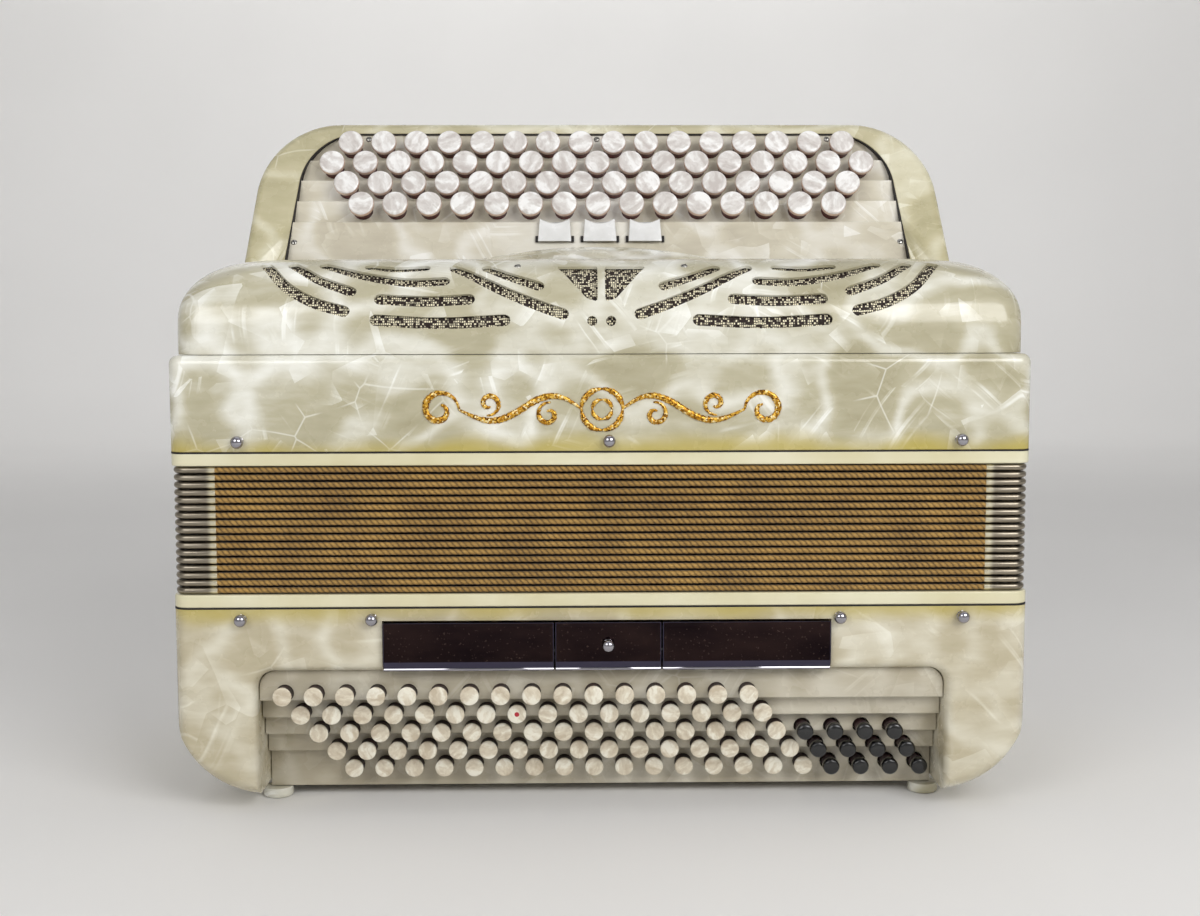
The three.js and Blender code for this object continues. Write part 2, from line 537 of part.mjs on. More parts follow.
function keyboardVolume(inset, bottom) {
  return sweep(keyboardOutline(inset, bottom), "y", behind(KEYBOARD_FRONT), behind(DEPTH), 10)
    .intersect(sweep(keyboardProfile(inset, bottom), "x", -HALF, HALF));
}
const BOARD_HALF = 177.5;
const BOARD_TOP = 365;
const BOARD_ROUND = 32;
const boardOutline = (spare) => {
  const shape = new THREE.Shape();
  const half = BOARD_HALF + spare;
  const round = BOARD_ROUND + spare;
  const top = BOARD_TOP + spare;
  shape.moveTo(-half, 270);
  shape.lineTo(half, 270);
  shape.absarc(half - 3 - round, top - round, round, 0, Math.PI / 2, false);
  shape.absarc(-half + 3 + round, top - round, round, Math.PI / 2, Math.PI, false);
  shape.closePath();
  return shape;
};
const boardHole = sweep(boardOutline(0.8), "y", behind(60), behind(DEPTH - 12), 8)
  .intersect(block(-HALF, HALF, behind(60), behind(DEPTH - 12), APRON_FOOT.z - 0.5, 400));
place("keyboard_case",
  keyboardVolume(0, TREBLE_TOP + GAP).subtract(keyboardVolume(KEYBOARD_WALL, TREBLE_TOP - 1)).subtract(boardHole),
  PEARL);

// The stepped board: an apron and four treads, with one slot behind each row of stems.
const BOARD_SHEET = 4;
function trebleBoard() {
  const front = [];
  for (let row = 0; row < ROW_COUNT; row++) {
    if (row > 0) front.push(onTread(row, TREBLE_TREAD_ABOVE));
    front.push(onTread(row, TREBLE_TREAD_ABOVE - TREAD_LENGTH));
  }
  const upper = onTread(0, (BOARD_TOP - root(0).z) / treadUp.z);
  const apronTop = onTread(ROW_COUNT, TREBLE_TREAD_ABOVE);
  const foot = [behind(APRON_FOOT.depth), APRON_FOOT.z];
  const shape = polygon([
    upper, ...front, apronTop, foot, [foot[0] + BOARD_SHEET, foot[1]],
    [behind(root(ROW_COUNT - 1).depth + 8), root(ROW_COUNT - 1).z - 8], [upper[0] + 8, upper[1]],
  ]);
  const solid = sweep(shape, "x", -HALF, HALF).intersect(sweep(boardOutline(0), "y", behind(60), behind(DEPTH), 8));
  return TREBLE_ROWS.reduce((board, count, row) => {
    const half = (count - 1) / 2 * TREBLE_PITCH + 6;
    const slot = new THREE.BoxGeometry(2 * half, 60, 10.6).rotateX(-TREBLE_TILT);
    return board.subtract(solidOf(slot.translate(0, behind(root(row).depth), root(row).z)));
  }, solid);
}
place("treble_button_board", trebleBoard(), PEARL);

// A row of treble buttons: caps on stems through the board, carried by one rail behind it.
function trebleRow(row) {
  const outwards = new THREE.Vector3(0, axisOut.depth, axisOut.z);
  const inwards = outwards.clone().negate();
  const count = TREBLE_ROWS[row];
  const face = new THREE.Vector3(0, behind(head(row).depth), head(row).z);
  const railReach = TREBLE_PROUD + 15;
  const parts = [];
  for (let i = 0; i < count; i++) {
    const start = face.clone().setX((i - (count - 1) / 2) * TREBLE_PITCH);
    parts.push(bar(start, inwards, 4.5, 7.45, 8));
    parts.push(bar(start.clone().addScaledVector(inwards, 4), inwards, railReach - 3, 5, 4));
  }
  const half = (count - 1) / 2 * TREBLE_PITCH + 3;
  const rail = new THREE.BoxGeometry(2 * half + 6, 3, 11).rotateX(-TREBLE_TILT);
  const middle = face.clone().addScaledVector(inwards, railReach);
  parts.push(solidOf(rail.translate(0, middle.y, middle.z)));
  return joined(parts);
}
for (let row = 0; row < ROW_COUNT; row++) {
  place(`treble_button_row_${row + 1}`, trebleRow(row), BUTTON_WHITE);
}

// ---- Treble registers: three tabs that rock about their lower edge ----
const TAB_PITCH = 26;
const TAB = { halfFoot: 9.6, halfTop: 8.6, foot: 298.8, top: 312, depth: 111.8, thickness: 3, lean: 6.2 };
function registerTab(x) {
  const outline = new THREE.Shape();
  outline.moveTo(x - TAB.halfFoot, TAB.foot);
  outline.lineTo(x + TAB.halfFoot, TAB.foot);
  outline.lineTo(x + TAB.halfTop, TAB.top);
  outline.quadraticCurveTo(x, TAB.top - 4, x - TAB.halfTop, TAB.top);
  outline.closePath();
  const profile = polygon([
    [behind(TAB.depth), TAB.foot], [behind(TAB.depth + TAB.thickness), TAB.foot],
    [behind(TAB.depth + TAB.thickness + TAB.lean), TAB.top + 1], [behind(TAB.depth + TAB.lean), TAB.top + 1],
  ]);
  return sweep(outline, "y", behind(60), behind(150), 5).intersect(sweep(profile, "x", -HALF, HALF));
}
for (let tab = 0; tab < 3; tab++) {
  place(`treble_register_tab_${tab + 1}`, registerTab((tab - 1) * TAB_PITCH + 1), TAB_WHITE);
}

// ---- Shoulder strap brackets on the back ----
const BRACKET = { z: 214, x: 176, half: 20, height: 16, plate: 1.6, bar: 1.8, slotHalf: 16 };
function strapBracket(x) {
  const outer = block(x - BRACKET.half, x + BRACKET.half, behind(DEPTH + GAP), behind(DEPTH + PROUD_BACK),
    BRACKET.z, BRACKET.z + BRACKET.height);
  const slot = block(x - BRACKET.slotHalf, x + BRACKET.slotHalf, behind(DEPTH + GAP + BRACKET.plate),
    behind(DEPTH + PROUD_BACK - BRACKET.bar), BRACKET.z - 1, BRACKET.z + BRACKET.height + 1);
  return outer.subtract(slot);
}
place("strap_bracket_left", strapBracket(-BRACKET.x), STEEL);
place("strap_bracket_right", strapBracket(BRACKET.x), STEEL);

export default group;
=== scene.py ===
"""Looks for a chromatic button accordion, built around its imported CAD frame.
Metres, +Z up along the bellows' travel, the front towards -Y."""

import json
import math
import random

import bmesh
import bpy
from mathutils import Matrix, Vector


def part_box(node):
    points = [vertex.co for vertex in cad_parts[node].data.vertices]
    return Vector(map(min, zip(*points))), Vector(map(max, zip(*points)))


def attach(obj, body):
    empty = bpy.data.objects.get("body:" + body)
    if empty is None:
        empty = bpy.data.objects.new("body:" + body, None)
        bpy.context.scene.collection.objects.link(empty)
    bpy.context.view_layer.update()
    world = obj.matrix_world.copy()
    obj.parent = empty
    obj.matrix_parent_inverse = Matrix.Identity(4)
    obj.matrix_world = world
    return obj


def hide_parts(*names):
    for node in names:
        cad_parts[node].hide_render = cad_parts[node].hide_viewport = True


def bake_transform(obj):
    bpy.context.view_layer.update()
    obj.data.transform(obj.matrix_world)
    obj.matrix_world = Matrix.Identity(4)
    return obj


MM = 0.001
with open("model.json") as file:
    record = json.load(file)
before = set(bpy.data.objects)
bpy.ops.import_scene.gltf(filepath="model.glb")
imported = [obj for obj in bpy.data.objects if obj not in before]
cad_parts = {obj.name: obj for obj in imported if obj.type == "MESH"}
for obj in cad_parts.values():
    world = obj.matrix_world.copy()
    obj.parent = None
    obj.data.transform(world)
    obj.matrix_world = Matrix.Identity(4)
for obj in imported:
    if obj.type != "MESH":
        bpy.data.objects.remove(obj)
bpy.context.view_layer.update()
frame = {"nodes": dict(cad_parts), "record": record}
NODE_BODY = {n: b for b, members in frame["record"]["behaviour"]["bodies"].items() for n in members}

# ---- Driving places, from the frame ----
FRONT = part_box("treble_case")[0].y
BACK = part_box("treble_case")[1].y
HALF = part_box("treble_case")[1].x
EDGE_RADIUS = 8 * MM  # of the cabinets' upright edges
BASS_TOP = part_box("bass_case")[1].z
BASS_FRAME_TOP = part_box("bass_bellows_frame")[1].z
TREBLE_FRAME_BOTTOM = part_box("treble_bellows_frame")[0].z
TREBLE_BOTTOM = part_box("treble_bellows_frame")[1].z
TREBLE_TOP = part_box("treble_case")[1].z
FOLDS = 17


def behind(depth):
    """Y of a point this many millimetres behind the front face."""
    return FRONT + depth * MM


def srgb(*levels):
    """Linear colour from 0-255 display levels."""
    linear = [(v / 255 / 12.92) if v <= 10 else ((v / 255 + 0.055) / 1.055) ** 2.4 for v in levels]
    return (*linear, 1.0)


# ---- Camera ----
EYE = Vector((-13.5, -855.5, 250)) * MM
YAW, PITCH, ROLL = math.radians(0.94), math.radians(5.01), math.radians(-0.13)


def make_camera():
    ahead = Vector((math.sin(YAW) * math.cos(PITCH), math.cos(YAW) * math.cos(PITCH), -math.sin(PITCH)))
    right = Vector((math.cos(YAW), -math.sin(YAW), 0))
    up = right.cross(ahead)
    rolled_right = math.cos(ROLL) * right + math.sin(ROLL) * up
    rolled_up = math.cos(ROLL) * up - math.sin(ROLL) * right
    data = bpy.data.cameras.new("camera")
    data.sensor_width = 36
    data.lens = 45
    data.clip_end = 20
    camera = bpy.data.objects.new("camera", data)
    turn = Matrix((rolled_right, rolled_up, -ahead)).transposed()
    camera.matrix_world = Matrix.Translation(EYE) @ turn.to_4x4()
    bpy.context.scene.collection.objects.link(camera)
    bpy.context.scene.camera = camera


# ---- Shader helper ----
class Shader:
    """One material and the nodes that feed its Principled shader."""

    def __init__(self, name):
        self.material = bpy.data.materials.new(name)
        self.material.use_nodes = True
        self.tree = self.material.node_tree
        self.tree.nodes.clear()

    def add(self, kind, inputs=None, out=0, **settings):
        made = self.tree.nodes.new("ShaderNode" + kind)
        for key, value in settings.items():
            setattr(made, key, value)
        for key, value in (inputs or {}).items():
            if isinstance(value, bpy.types.NodeSocket):
                self.tree.links.new(value, made.inputs[key])
            else:
                made.inputs[key].default_value = value
        return made.outputs[out]

    def place(self):
        return self.add("TexCoord", out="Object")

    def math(self, operation, a, b=0.0, c=0.0, clamp=False):
        return self.add("Math", {0: a, 1: b, 2: c}, operation=operation, use_clamp=clamp)

    def vector(self, operation, a, b=(0, 0, 0), c=(0, 0, 0)):
        out = "Value" if operation in ("DOT_PRODUCT", "LENGTH", "DISTANCE") else "Vector"
        inputs = {0: a, 1: b, 2: c} if operation == "MULTIPLY_ADD" else {0: a, 1: b}
        return self.add("VectorMath", inputs, out, operation=operation)

    def noise(self, place, scale, detail=2.0, out=0):
        return self.add("TexNoise", {"Vector": place, "Scale": scale, "Detail": detail}, out)

    def mix(self, share, a, b):
        return self.add("Mix", {0: share, 6: a, 7: b}, 2, data_type="RGBA")

    def band(self, value, low, high):
        """0 below low, 1 above high, smooth between."""
        return self.add("MapRange", {0: value, 1: low, 2: high}, interpolation_type="SMOOTHSTEP")

    def ramp(self, value, *stops):
        made = self.tree.nodes.new("ShaderNodeValToRGB")
        self.tree.links.new(value, made.inputs[0])
        marks = made.color_ramp.elements
        while len(marks) < len(stops):
            marks.new(0.5)
        for mark, (position, colour) in zip(marks, stops):
            mark.position = position
            mark.color = colour
        return made.outputs[0]

    def bump(self, height, distance, strength=1.0):
        return self.add("Bump", {"Height": height, "Distance": distance, "Strength": strength}, out="Normal")

    def finish(self, **inputs):
        named = {key.replace("_", " "): value for key, value in inputs.items()}
        surface = self.add("BsdfPrincipled", named, out="BSDF")
        self.add_output(surface)
        return self.material

    def add_output(self, surface):
        output = self.tree.nodes.new("ShaderNodeOutputMaterial")
        self.tree.links.new(surface, output.inputs["Surface"])


# ---- Materials ----
def pearl(name, tones, stained=0.0, cell=0.037, lively=1.0):
    """Pearloid celluloid: soft flames and creases that run a different way in each fold of the crumpled film.
    tones go from the shaded film over the common tone to the brightest flames."""
    s = Shader(name)
    place = s.place()
    wander = s.vector("SUBTRACT", s.noise(place, 16.0, 1.5, out="Color"), (0.5,) * 3)
    bent = s.vector("MULTIPLY_ADD", wander, (0.013,) * 3, place)

    def folds(scale, shift):
        """Distance across a fold along its own heading, and the fold's own random level."""
        cells = s.tree.nodes.new("ShaderNodeTexVoronoi")
        s.tree.links.new(s.vector("ADD", bent, (shift,) * 3), cells.inputs["Vector"])
        cells.inputs["Scale"].default_value = scale
        across = s.vector("SUBTRACT", s.vector("ADD", bent, (shift,) * 3), cells.outputs["Position"])
        heading = s.vector("NORMALIZE", s.vector("SUBTRACT", cells.outputs["Color"], (0.5,) * 3))
        level = s.add("SeparateXYZ", {0: cells.outputs["Color"]}, "Y")
        return s.math("MULTIPLY", s.vector("DOT_PRODUCT", across, heading), scale), level

    def flames(scale, shift, rare):
        across, level = folds(scale, shift)
        rise = s.math("POWER", s.band(across, -0.1, 0.62), 1.6)
        satin = s.add("TexNoise", {"W": s.math("MULTIPLY", across, 5.0), "Scale": 1.0, "Detail": 3.0},
                      noise_dimensions="1D")
        rise = s.math("MULTIPLY", rise, s.math("MULTIPLY_ADD", satin, 1.8, 0.0))
        chosen = s.band(level, rare, rare + 0.3)
        return across, s.math("MULTIPLY", rise, chosen)

    across, broad = flames(1 / cell, 0.0, 0.35)
    _, small = flames(2.6 / cell, 0.31, 0.55)
    lines = s.add("TexNoise", {"W": s.math("MULTIPLY", across, 10.0), "Scale": 1.0, "Detail": 2.0},
                  noise_dimensions="1D")
    lines = s.math("MULTIPLY", s.band(lines, 0.54, 0.74), s.band(s.noise(place, 34.0, 2.0), 0.48, 0.66))
    cloud = s.noise(place, 11.0, 3.0)
    silk = s.noise(s.vector("MULTIPLY", bent, (1.0, 1.0, 3.0)), 60.0, 4.0)
    ridge = s.math("ABSOLUTE", s.math("MULTIPLY_ADD", s.noise(bent, 21.0, 1.0), 2.0, -1.0))
    ridge = s.math("POWER", s.math("SUBTRACT", 1.0, s.band(ridge, 0.0, 0.3)), 2.0)
    shade = s.math("MULTIPLY_ADD", cloud, 0.75, -0.145)
    shade = s.math("MULTIPLY_ADD", silk, 0.36, shade)
    shade = s.math("MULTIPLY_ADD", ridge, 0.28 * lively, shade)
    shade = s.math("MULTIPLY_ADD", broad, 0.3 * lively, shade)
    shade = s.math("MULTIPLY_ADD", small, 0.24 * lively, shade)
    shade = s.math("MULTIPLY_ADD", lines, 0.34 * lively, shade)
    dark, middle, light = tones
    colour = s.ramp(shade, (0.15, dark), (0.46, middle), (0.95, light))
    creases = s.add("TexVoronoi", {"Vector": bent, "Scale": 1.2 / cell}, "Distance", feature="DISTANCE_TO_EDGE")
    thin = s.math("SUBTRACT", 1.0, s.band(creases, 0.002, 0.02))
    some = s.band(s.noise(place, 26.0, 1.0), 0.55, 0.66)
    colour = s.mix(s.math("MULTIPLY", thin, s.math("MULTIPLY", some, 0.42 * lively)), colour, light)
    if stained:
        height = s.add("SeparateXYZ", {0: place}, "Z")
        from_joint = s.math("ABSOLUTE", s.math("SUBTRACT", height, (BASS_TOP + TREBLE_BOTTOM) / 2))
        reach = s.math("SUBTRACT", from_joint, (TREBLE_BOTTOM - BASS_TOP) / 2)
        patchy = s.math("MULTIPLY_ADD", s.noise(place, 22.0, 2.0), 0.018, -0.003)
        edge = s.math("SUBTRACT", 1.0, s.band(s.math("SUBTRACT", reach, patchy), -0.007, 0.005))
        stain = s.math("MULTIPLY", edge, stained)
        colour = s.mix(stain, colour, srgb(182, 164, 66))
    worn = s.noise(place, 60.0, 4.0)
    normal = s.bump(s.noise(place, 14.0, 2.0), 0.0012, 0.35)
    return s.finish(Base_Color=colour, Roughness=s.math("MULTIPLY_ADD", worn, 0.14, 0.2), Normal=normal,
                    Coat_Weight=0.5, Coat_Roughness=0.09)


def cream(name):
    """Plain cream celluloid, a little yellowed in patches."""
    s = Shader(name)
    place = s.place()
    patches = s.noise(place, 24.0, 3.0)
    colour = s.ramp(patches, (0.3, srgb(213, 205, 166)), (0.7, srgb(225, 220, 190)))
    return s.finish(Base_Color=colour, Roughness=0.3, Normal=s.bump(s.noise(place, 40.0), 0.0006, 0.3),
                    Coat_Weight=0.3, Coat_Roughness=0.12)


def braid():
    """Gold thread cord: strands twisted about it, from UVs in millimetres along and turns around, darker in the grooves
    between strands as painted shade.
    """
    s = Shader("gold braid")
    place = s.place()
    split = s.tree.nodes.new("ShaderNodeSeparateXYZ")
    s.tree.links.new(s.add("UVMap"), split.inputs[0])
    turn = s.math("MULTIPLY_ADD", split.outputs["X"], 1 / STRAND_PITCH, s.math("MULTIPLY", split.outputs["Y"], 2.0))
    strand = s.math("POWER", s.math("ABSOLUTE", s.math("SINE", s.math("MULTIPLY", turn, math.pi))), 0.6)
    fibres = s.noise(place, 900.0, 2.0)
    patches = s.noise(place, 45.0, 3.0)
    tone = s.math("MULTIPLY_ADD", fibres, 0.4, s.math("MULTIPLY", patches, 0.4))
    # painted shade: the grooves between strands are darker than the strands themselves
    tone = s.math("MULTIPLY_ADD", strand, 0.5, s.math("SUBTRACT", tone, 0.2))
    colour = s.ramp(tone, (0.12, srgb(40, 26, 9)), (0.48, srgb(128, 96, 42)), (0.8, srgb(184, 146, 76)))
    height = s.math("MULTIPLY_ADD", fibres, 0.15, strand)
    return s.finish(Base_Color=colour, Roughness=0.62, Metallic=0.15, Sheen_Weight=0.2,
                    Normal=s.bump(height, 0.0002, 0.6))


def metal(name, colour, roughness, scratches=0.05):
    s = Shader(name)
    place = s.place()
    marks = s.noise(s.vector("MULTIPLY", place, (60, 60, 900)), 1.0, 3.0)
    rough = s.math("MULTIPLY_ADD", marks, scratches, roughness)
    tint = s.mix(s.math("MULTIPLY", s.noise(place, 90.0, 3.0), 0.35), colour, tuple(0.6 * v for v in colour[:3]) + (1,))
    return s.finish(Base_Color=tint, Metallic=1.0, Roughness=rough)


def corner_steel():
    """The bellows corners: dulled plate, with a painted highlight on the ends next to the cords."""
    s = Shader("corner steel")
    place = s.place()
    x, y = (s.math("ABSOLUTE", s.add("SeparateXYZ", {0: place}, axis)) for axis in "XY")
    from_end = s.math("MINIMUM", s.math("SUBTRACT", x, HALF - CORNER_REACH), s.math("SUBTRACT", y, BACK - CORNER_REACH))
    streaks = s.noise(s.vector("MULTIPLY", place, (60, 60, 900)), 1.0, 3.0)
    dull = s.mix(streaks, srgb(112, 103, 90), srgb(176, 167, 150))
    # painted highlight: a bright cream band on the ends next to the cords
    colour = s.mix(s.band(from_end, 0.0018, 0.005), srgb(222, 214, 188), dull)
    return s.finish(Base_Color=colour, Metallic=1.0, Roughness=s.math("MULTIPLY_ADD", streaks, 0.1, 0.24))


def dark_reflection_chrome():
    """Chrome for the middle of the plates, its near-black brown colour a painted dark reflection of the room in front.
    """
    s = Shader("chrome, painted dark reflection")
    place = s.place()
    cloud = s.noise(s.vector("MULTIPLY", place, (1.0, 1.0, 3.0)), 26.0, 4.0)
    # painted dark reflection: the near-black brown tones of the plate face
    colour = s.ramp(cloud, (0.3, srgb(26, 19, 22)), (0.7, srgb(46, 34, 33)))
    specks = s.band(s.noise(place, 700.0, 1.0), 0.66, 0.72)
    colour = s.mix(s.math("MULTIPLY", specks, 0.25), colour, srgb(120, 100, 90))
    return s.finish(Base_Color=colour, Metallic=1.0, Roughness=s.math("MULTIPLY_ADD", specks, 0.2, 0.09))


def gauze():
    """Lacquered brass gauze: dark crossing wires, with a painted highlight as a glint on the crown of some crossings.
    """
    s = Shader("brass gauze")
    wander = s.noise(s.add("UVMap"), 0.5, 1.0, out="Color")
    crossing = s.vector("DIVIDE", s.vector("ADD", s.add("UVMap"), wander), (1.05, 1.25, 1.0))
    pick = s.add("TexWhiteNoise", {"Vector": s.vector("FLOOR", crossing)}, "Value")
    split = s.tree.nodes.new("ShaderNodeSeparateXYZ")
    s.tree.links.new(s.vector("SUBTRACT", s.vector("FRACTION", crossing), (0.5, 0.5, 0.0)), split.inputs[0])
    square = s.math("MAXIMUM", s.math("ABSOLUTE", split.outputs["X"]), s.math("ABSOLUTE", split.outputs["Y"]))
    crown = s.math("SUBTRACT", 1.0, s.band(square, 0.26, 0.46))
    # painted highlight: the picked crossings get a near-white glint colour
    painted_glints = s.math("MULTIPLY", crown, s.band(pick, 0.3, 0.6))
    colour = s.mix(painted_glints, srgb(38, 22, 15), srgb(255, 246, 214))
    return s.finish(Base_Color=colour, Metallic=0.1, Roughness=s.math("MULTIPLY_ADD", painted_glints, -0.2, 0.5),
                    Normal=s.bump(crown, 0.0004, 0.8))


def nacre(name, dark, middle, light, grain):
    """Mother-of-pearl for buttons: bands that run a different way on each, from the turned UVs."""
    s = Shader(name)
    across = s.vector("MULTIPLY", s.add("UVMap"), (grain * 0.35, grain, 1.0))
    wander = s.noise(s.add("UVMap"), 1.1, 2.0, out="Color")
    bands = s.noise(s.vector("ADD", across, wander), 1.0, 4.0)
    colour = s.ramp(bands, (0.34, dark), (0.5, middle), (0.62, light))
    return s.finish(Base_Color=colour, Roughness=s.math("MULTIPLY_ADD", bands, 0.2, 0.12), Coat_Weight=0.6,
                    Coat_Roughness=0.05)


def moulded(name, low, high, roughness, coat=0.4, grain=160.0):
    """Moulded or turned plastic with a faint unevenness."""
    s = Shader(name)
    place = s.place()
    patches = s.noise(place, grain, 3.0)
    return s.finish(Base_Color=s.ramp(patches, (0.3, low), (0.7, high)), Coat_Weight=coat, Coat_Roughness=0.06,
                    Roughness=s.math("MULTIPLY_ADD", patches, 0.12, roughness),
                    Normal=s.bump(patches, 0.0002, 0.2))


def bellows_cloth():
    s = Shader("bellows cloth")
    place = s.place()
    weave = s.add("TexWave", {"Vector": place, "Scale": 260.0, "Distortion": 0.6}, "Fac", bands_direction="DIAGONAL")
    colour = s.ramp(weave, (0.2, srgb(38, 20, 24)), (0.8, srgb(70, 36, 38)))
    return s.finish(Base_Color=colour, Roughness=0.85, Sheen_Weight=0.25, Normal=s.bump(weave, 0.0003, 0.5))


def leather():
    s = Shader("strap leather")
    place = s.place()
    pores = s.add("TexVoronoi", {"Vector": place, "Scale": 900.0}, "Distance")
    creases = s.noise(place, 120.0, 4.0)
    colour = s.ramp(creases, (0.35, srgb(36, 24, 20)), (0.7, srgb(72, 50, 40)))
    height = s.math("MULTIPLY_ADD", creases, 0.6, pores)
    return s.finish(Base_Color=colour, Roughness=s.math("MULTIPLY_ADD", creases, 0.25, 0.4),
                    Normal=s.bump(height, 0.0005, 0.6))


def wood():
    s = Shader("spruce")
    place = s.place()
    grain = s.noise(s.vector("MULTIPLY", place, (6.0, 90.0, 90.0)), 1.0, 4.0)
    colour = s.ramp(grain, (0.35, srgb(150, 108, 66)), (0.65, srgb(204, 164, 112)))
    return s.finish(Base_Color=colour, Roughness=0.62, Normal=s.bump(grain, 0.0004, 0.4))


def felt():
    s = Shader("pallet felt")
    fuzz = s.noise(s.place(), 1400.0, 3.0)
    return s.finish(Base_Color=s.ramp(fuzz, (0.3, srgb(84, 22, 26)), (0.7, srgb(140, 44, 46))), Roughness=0.95,
                    Sheen_Weight=0.5, Normal=s.bump(fuzz, 0.0005, 0.7))


def glitter():
    """Gold glitter set in lacquer: flakes that face every way."""
    s = Shader("gold glitter")
    place = s.place()
    flakes = s.tree.nodes.new("ShaderNodeTexVoronoi")
    s.tree.links.new(place, flakes.inputs["Vector"])
    flakes.inputs["Scale"].default_value = 1100.0
    pick = s.add("SeparateXYZ", {0: flakes.outputs["Color"]}, "X")
    colour = s.ramp(pick, (0.0, srgb(116, 72, 14)), (0.45, srgb(196, 138, 34)), (0.8, srgb(240, 196, 84)),
                    (1.0, srgb(255, 240, 190)))
    return s.finish(Base_Color=colour, Metallic=0.75, Roughness=s.math("MULTIPLY_ADD", pick, 0.3, 0.2),
                    Normal=s.bump(pick, 0.0006, 0.9))


PEARL_MAIN = pearl("pearloid", (srgb(158, 150, 118), srgb(187, 181, 154), srgb(246, 246, 238)), stained=0.85,
                   lively=1.15)
PEARL_BASS = pearl("pearloid, bass", (srgb(168, 158, 125), srgb(190, 180, 152), srgb(238, 235, 219)), stained=0.75,
                   cell=0.05, lively=0.8)
PEARL_KEYBOARD = pearl("pearloid, keyboard", (srgb(166, 158, 118), srgb(196, 188, 152), srgb(238, 235, 214)))
PEARL_BOARD = pearl("pearloid, board", (srgb(180, 170, 150), srgb(210, 203, 183), srgb(246, 244, 237)), cell=0.034)
# darker and dirtier than the treble board's pearloid, for the bass board down in its well: partly its own tone, partly
# painted shade of the well
PEARL_WELL = pearl("pearloid, bass board", (srgb(154, 144, 122), srgb(176, 167, 145), srgb(214, 209, 193)), cell=0.04,
                   lively=0.7)
CREAM = cream("cream celluloid")
STRAND_PITCH = 3.1  # millimetres along the cord from one strand to the next
BRAID = braid()
CORNER_REACH = 23.0 * MM  # of the steel corners, from the cabinet's side and front
CORNER_STEEL = corner_steel()
CHROME = metal("chrome", srgb(172, 170, 177), 0.06, 0.02)
DARK_REFLECTION_CHROME = dark_reflection_chrome()
# painted dark reflection: a dimmed bluish copy of the chrome for the plates' top, ends and upper lip
DARK_REFLECTION_EDGE = metal("chrome edge, painted dark reflection", srgb(76, 73, 92), 0.1, 0.04)
STEEL = metal("plated steel", srgb(176, 174, 168), 0.26)
GAUZE = gauze()
NACRE = nacre("mother-of-pearl", srgb(202, 195, 190), srgb(224, 220, 216), srgb(247, 246, 244), 1.2)
NACRE_RIM = moulded("button rim", srgb(206, 172, 152), srgb(222, 200, 184), 0.2)
NACRE_BASS = nacre("bass button pearl", srgb(196, 182, 158), srgb(218, 208, 186), srgb(236, 231, 214), 1.1)
STEM_RED = moulded("stem, dark red", srgb(66, 10, 14), srgb(98, 18, 22), 0.45, coat=0.1)
STEM_DARK = moulded("stem, dark", srgb(24, 8, 14), srgb(52, 12, 20), 0.5, coat=0.1)
BUTTON_BLACK = moulded("black button", srgb(16, 16, 17), srgb(26, 27, 28), 0.16)
TAB_WHITE = moulded("register white", srgb(226, 226, 224), srgb(236, 236, 235), 0.2)
# black for the liners at the bellows frames, and painted shade where it fills the board's gap, the register slots and
# the screw slots
BLACK_LINER_AND_SHADE = moulded("black liner and painted shade", srgb(18, 14, 14), srgb(30, 24, 24), 0.6, coat=0.0)
MARK_RED = moulded("red mark", srgb(170, 20, 40), srgb(190, 30, 50), 0.3)
CLOTH = bellows_cloth()
LEATHER = leather()
THREAD = moulded("strap thread", srgb(120, 104, 84), srgb(150, 132, 110), 0.8, coat=0.0, grain=900.0)
WOOD = wood()
FELT = felt()
GLITTER = glitter()


# ---- Mesh helpers ----
def add_piece(name, mesh, body, slot, *materials, sharp=35):
    """A bmesh becomes a shown piece that rides on a body."""
    bmesh.ops.recalc_face_normals(mesh, faces=mesh.faces)
    data = bpy.data.meshes.new(name)
    mesh.to_mesh(data)
    mesh.free()
    data.shade_smooth()
    data.set_sharp_from_angle(angle=math.radians(sharp))
    for material in materials:
        data.materials.append(material)
    piece = bpy.data.objects.new(name, data)
    bpy.context.scene.collection.objects.link(piece)
    if body:
        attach(piece, body)
    return piece


def bake(piece):
    """Applies the piece's modifiers."""
    graph = bpy.context.evaluated_depsgraph_get()
    made = bpy.data.meshes.new_from_object(piece.evaluated_get(graph))
    piece.modifiers.clear()
    piece.data = made
    return piece


def loft(mesh, rings, loop=False, caps=True, material=0, closed=True):
    """Joins rings of points into a skin. loop joins the last ring to the first; closed joins each ring's own ends."""
    made = [[mesh.verts.new(point) for point in ring] for ring in rings]
    count = len(made[0])
    pairs = list(zip(made, made[1:])) + ([(made[-1], made[0])] if loop else [])
    for first, second in pairs:
        for i in range(count if closed else count - 1):
            j = (i + 1) % count
            mesh.faces.new((first[i], first[j], second[j], second[i])).material_index = material
    if caps and closed and not loop:
        mesh.faces.new(made[0][::-1]).material_index = material
        mesh.faces.new(made[-1]).material_index = material
    return made


def frame_of(axis):
    """Two directions that make a right-handed set with an axis."""
    side = axis.cross(Vector((0, 0, 1)))
    if side.length < 0.1:
        side = Vector((1, 0, 0))
    side.normalize()
    return side, axis.cross(side).normalized()


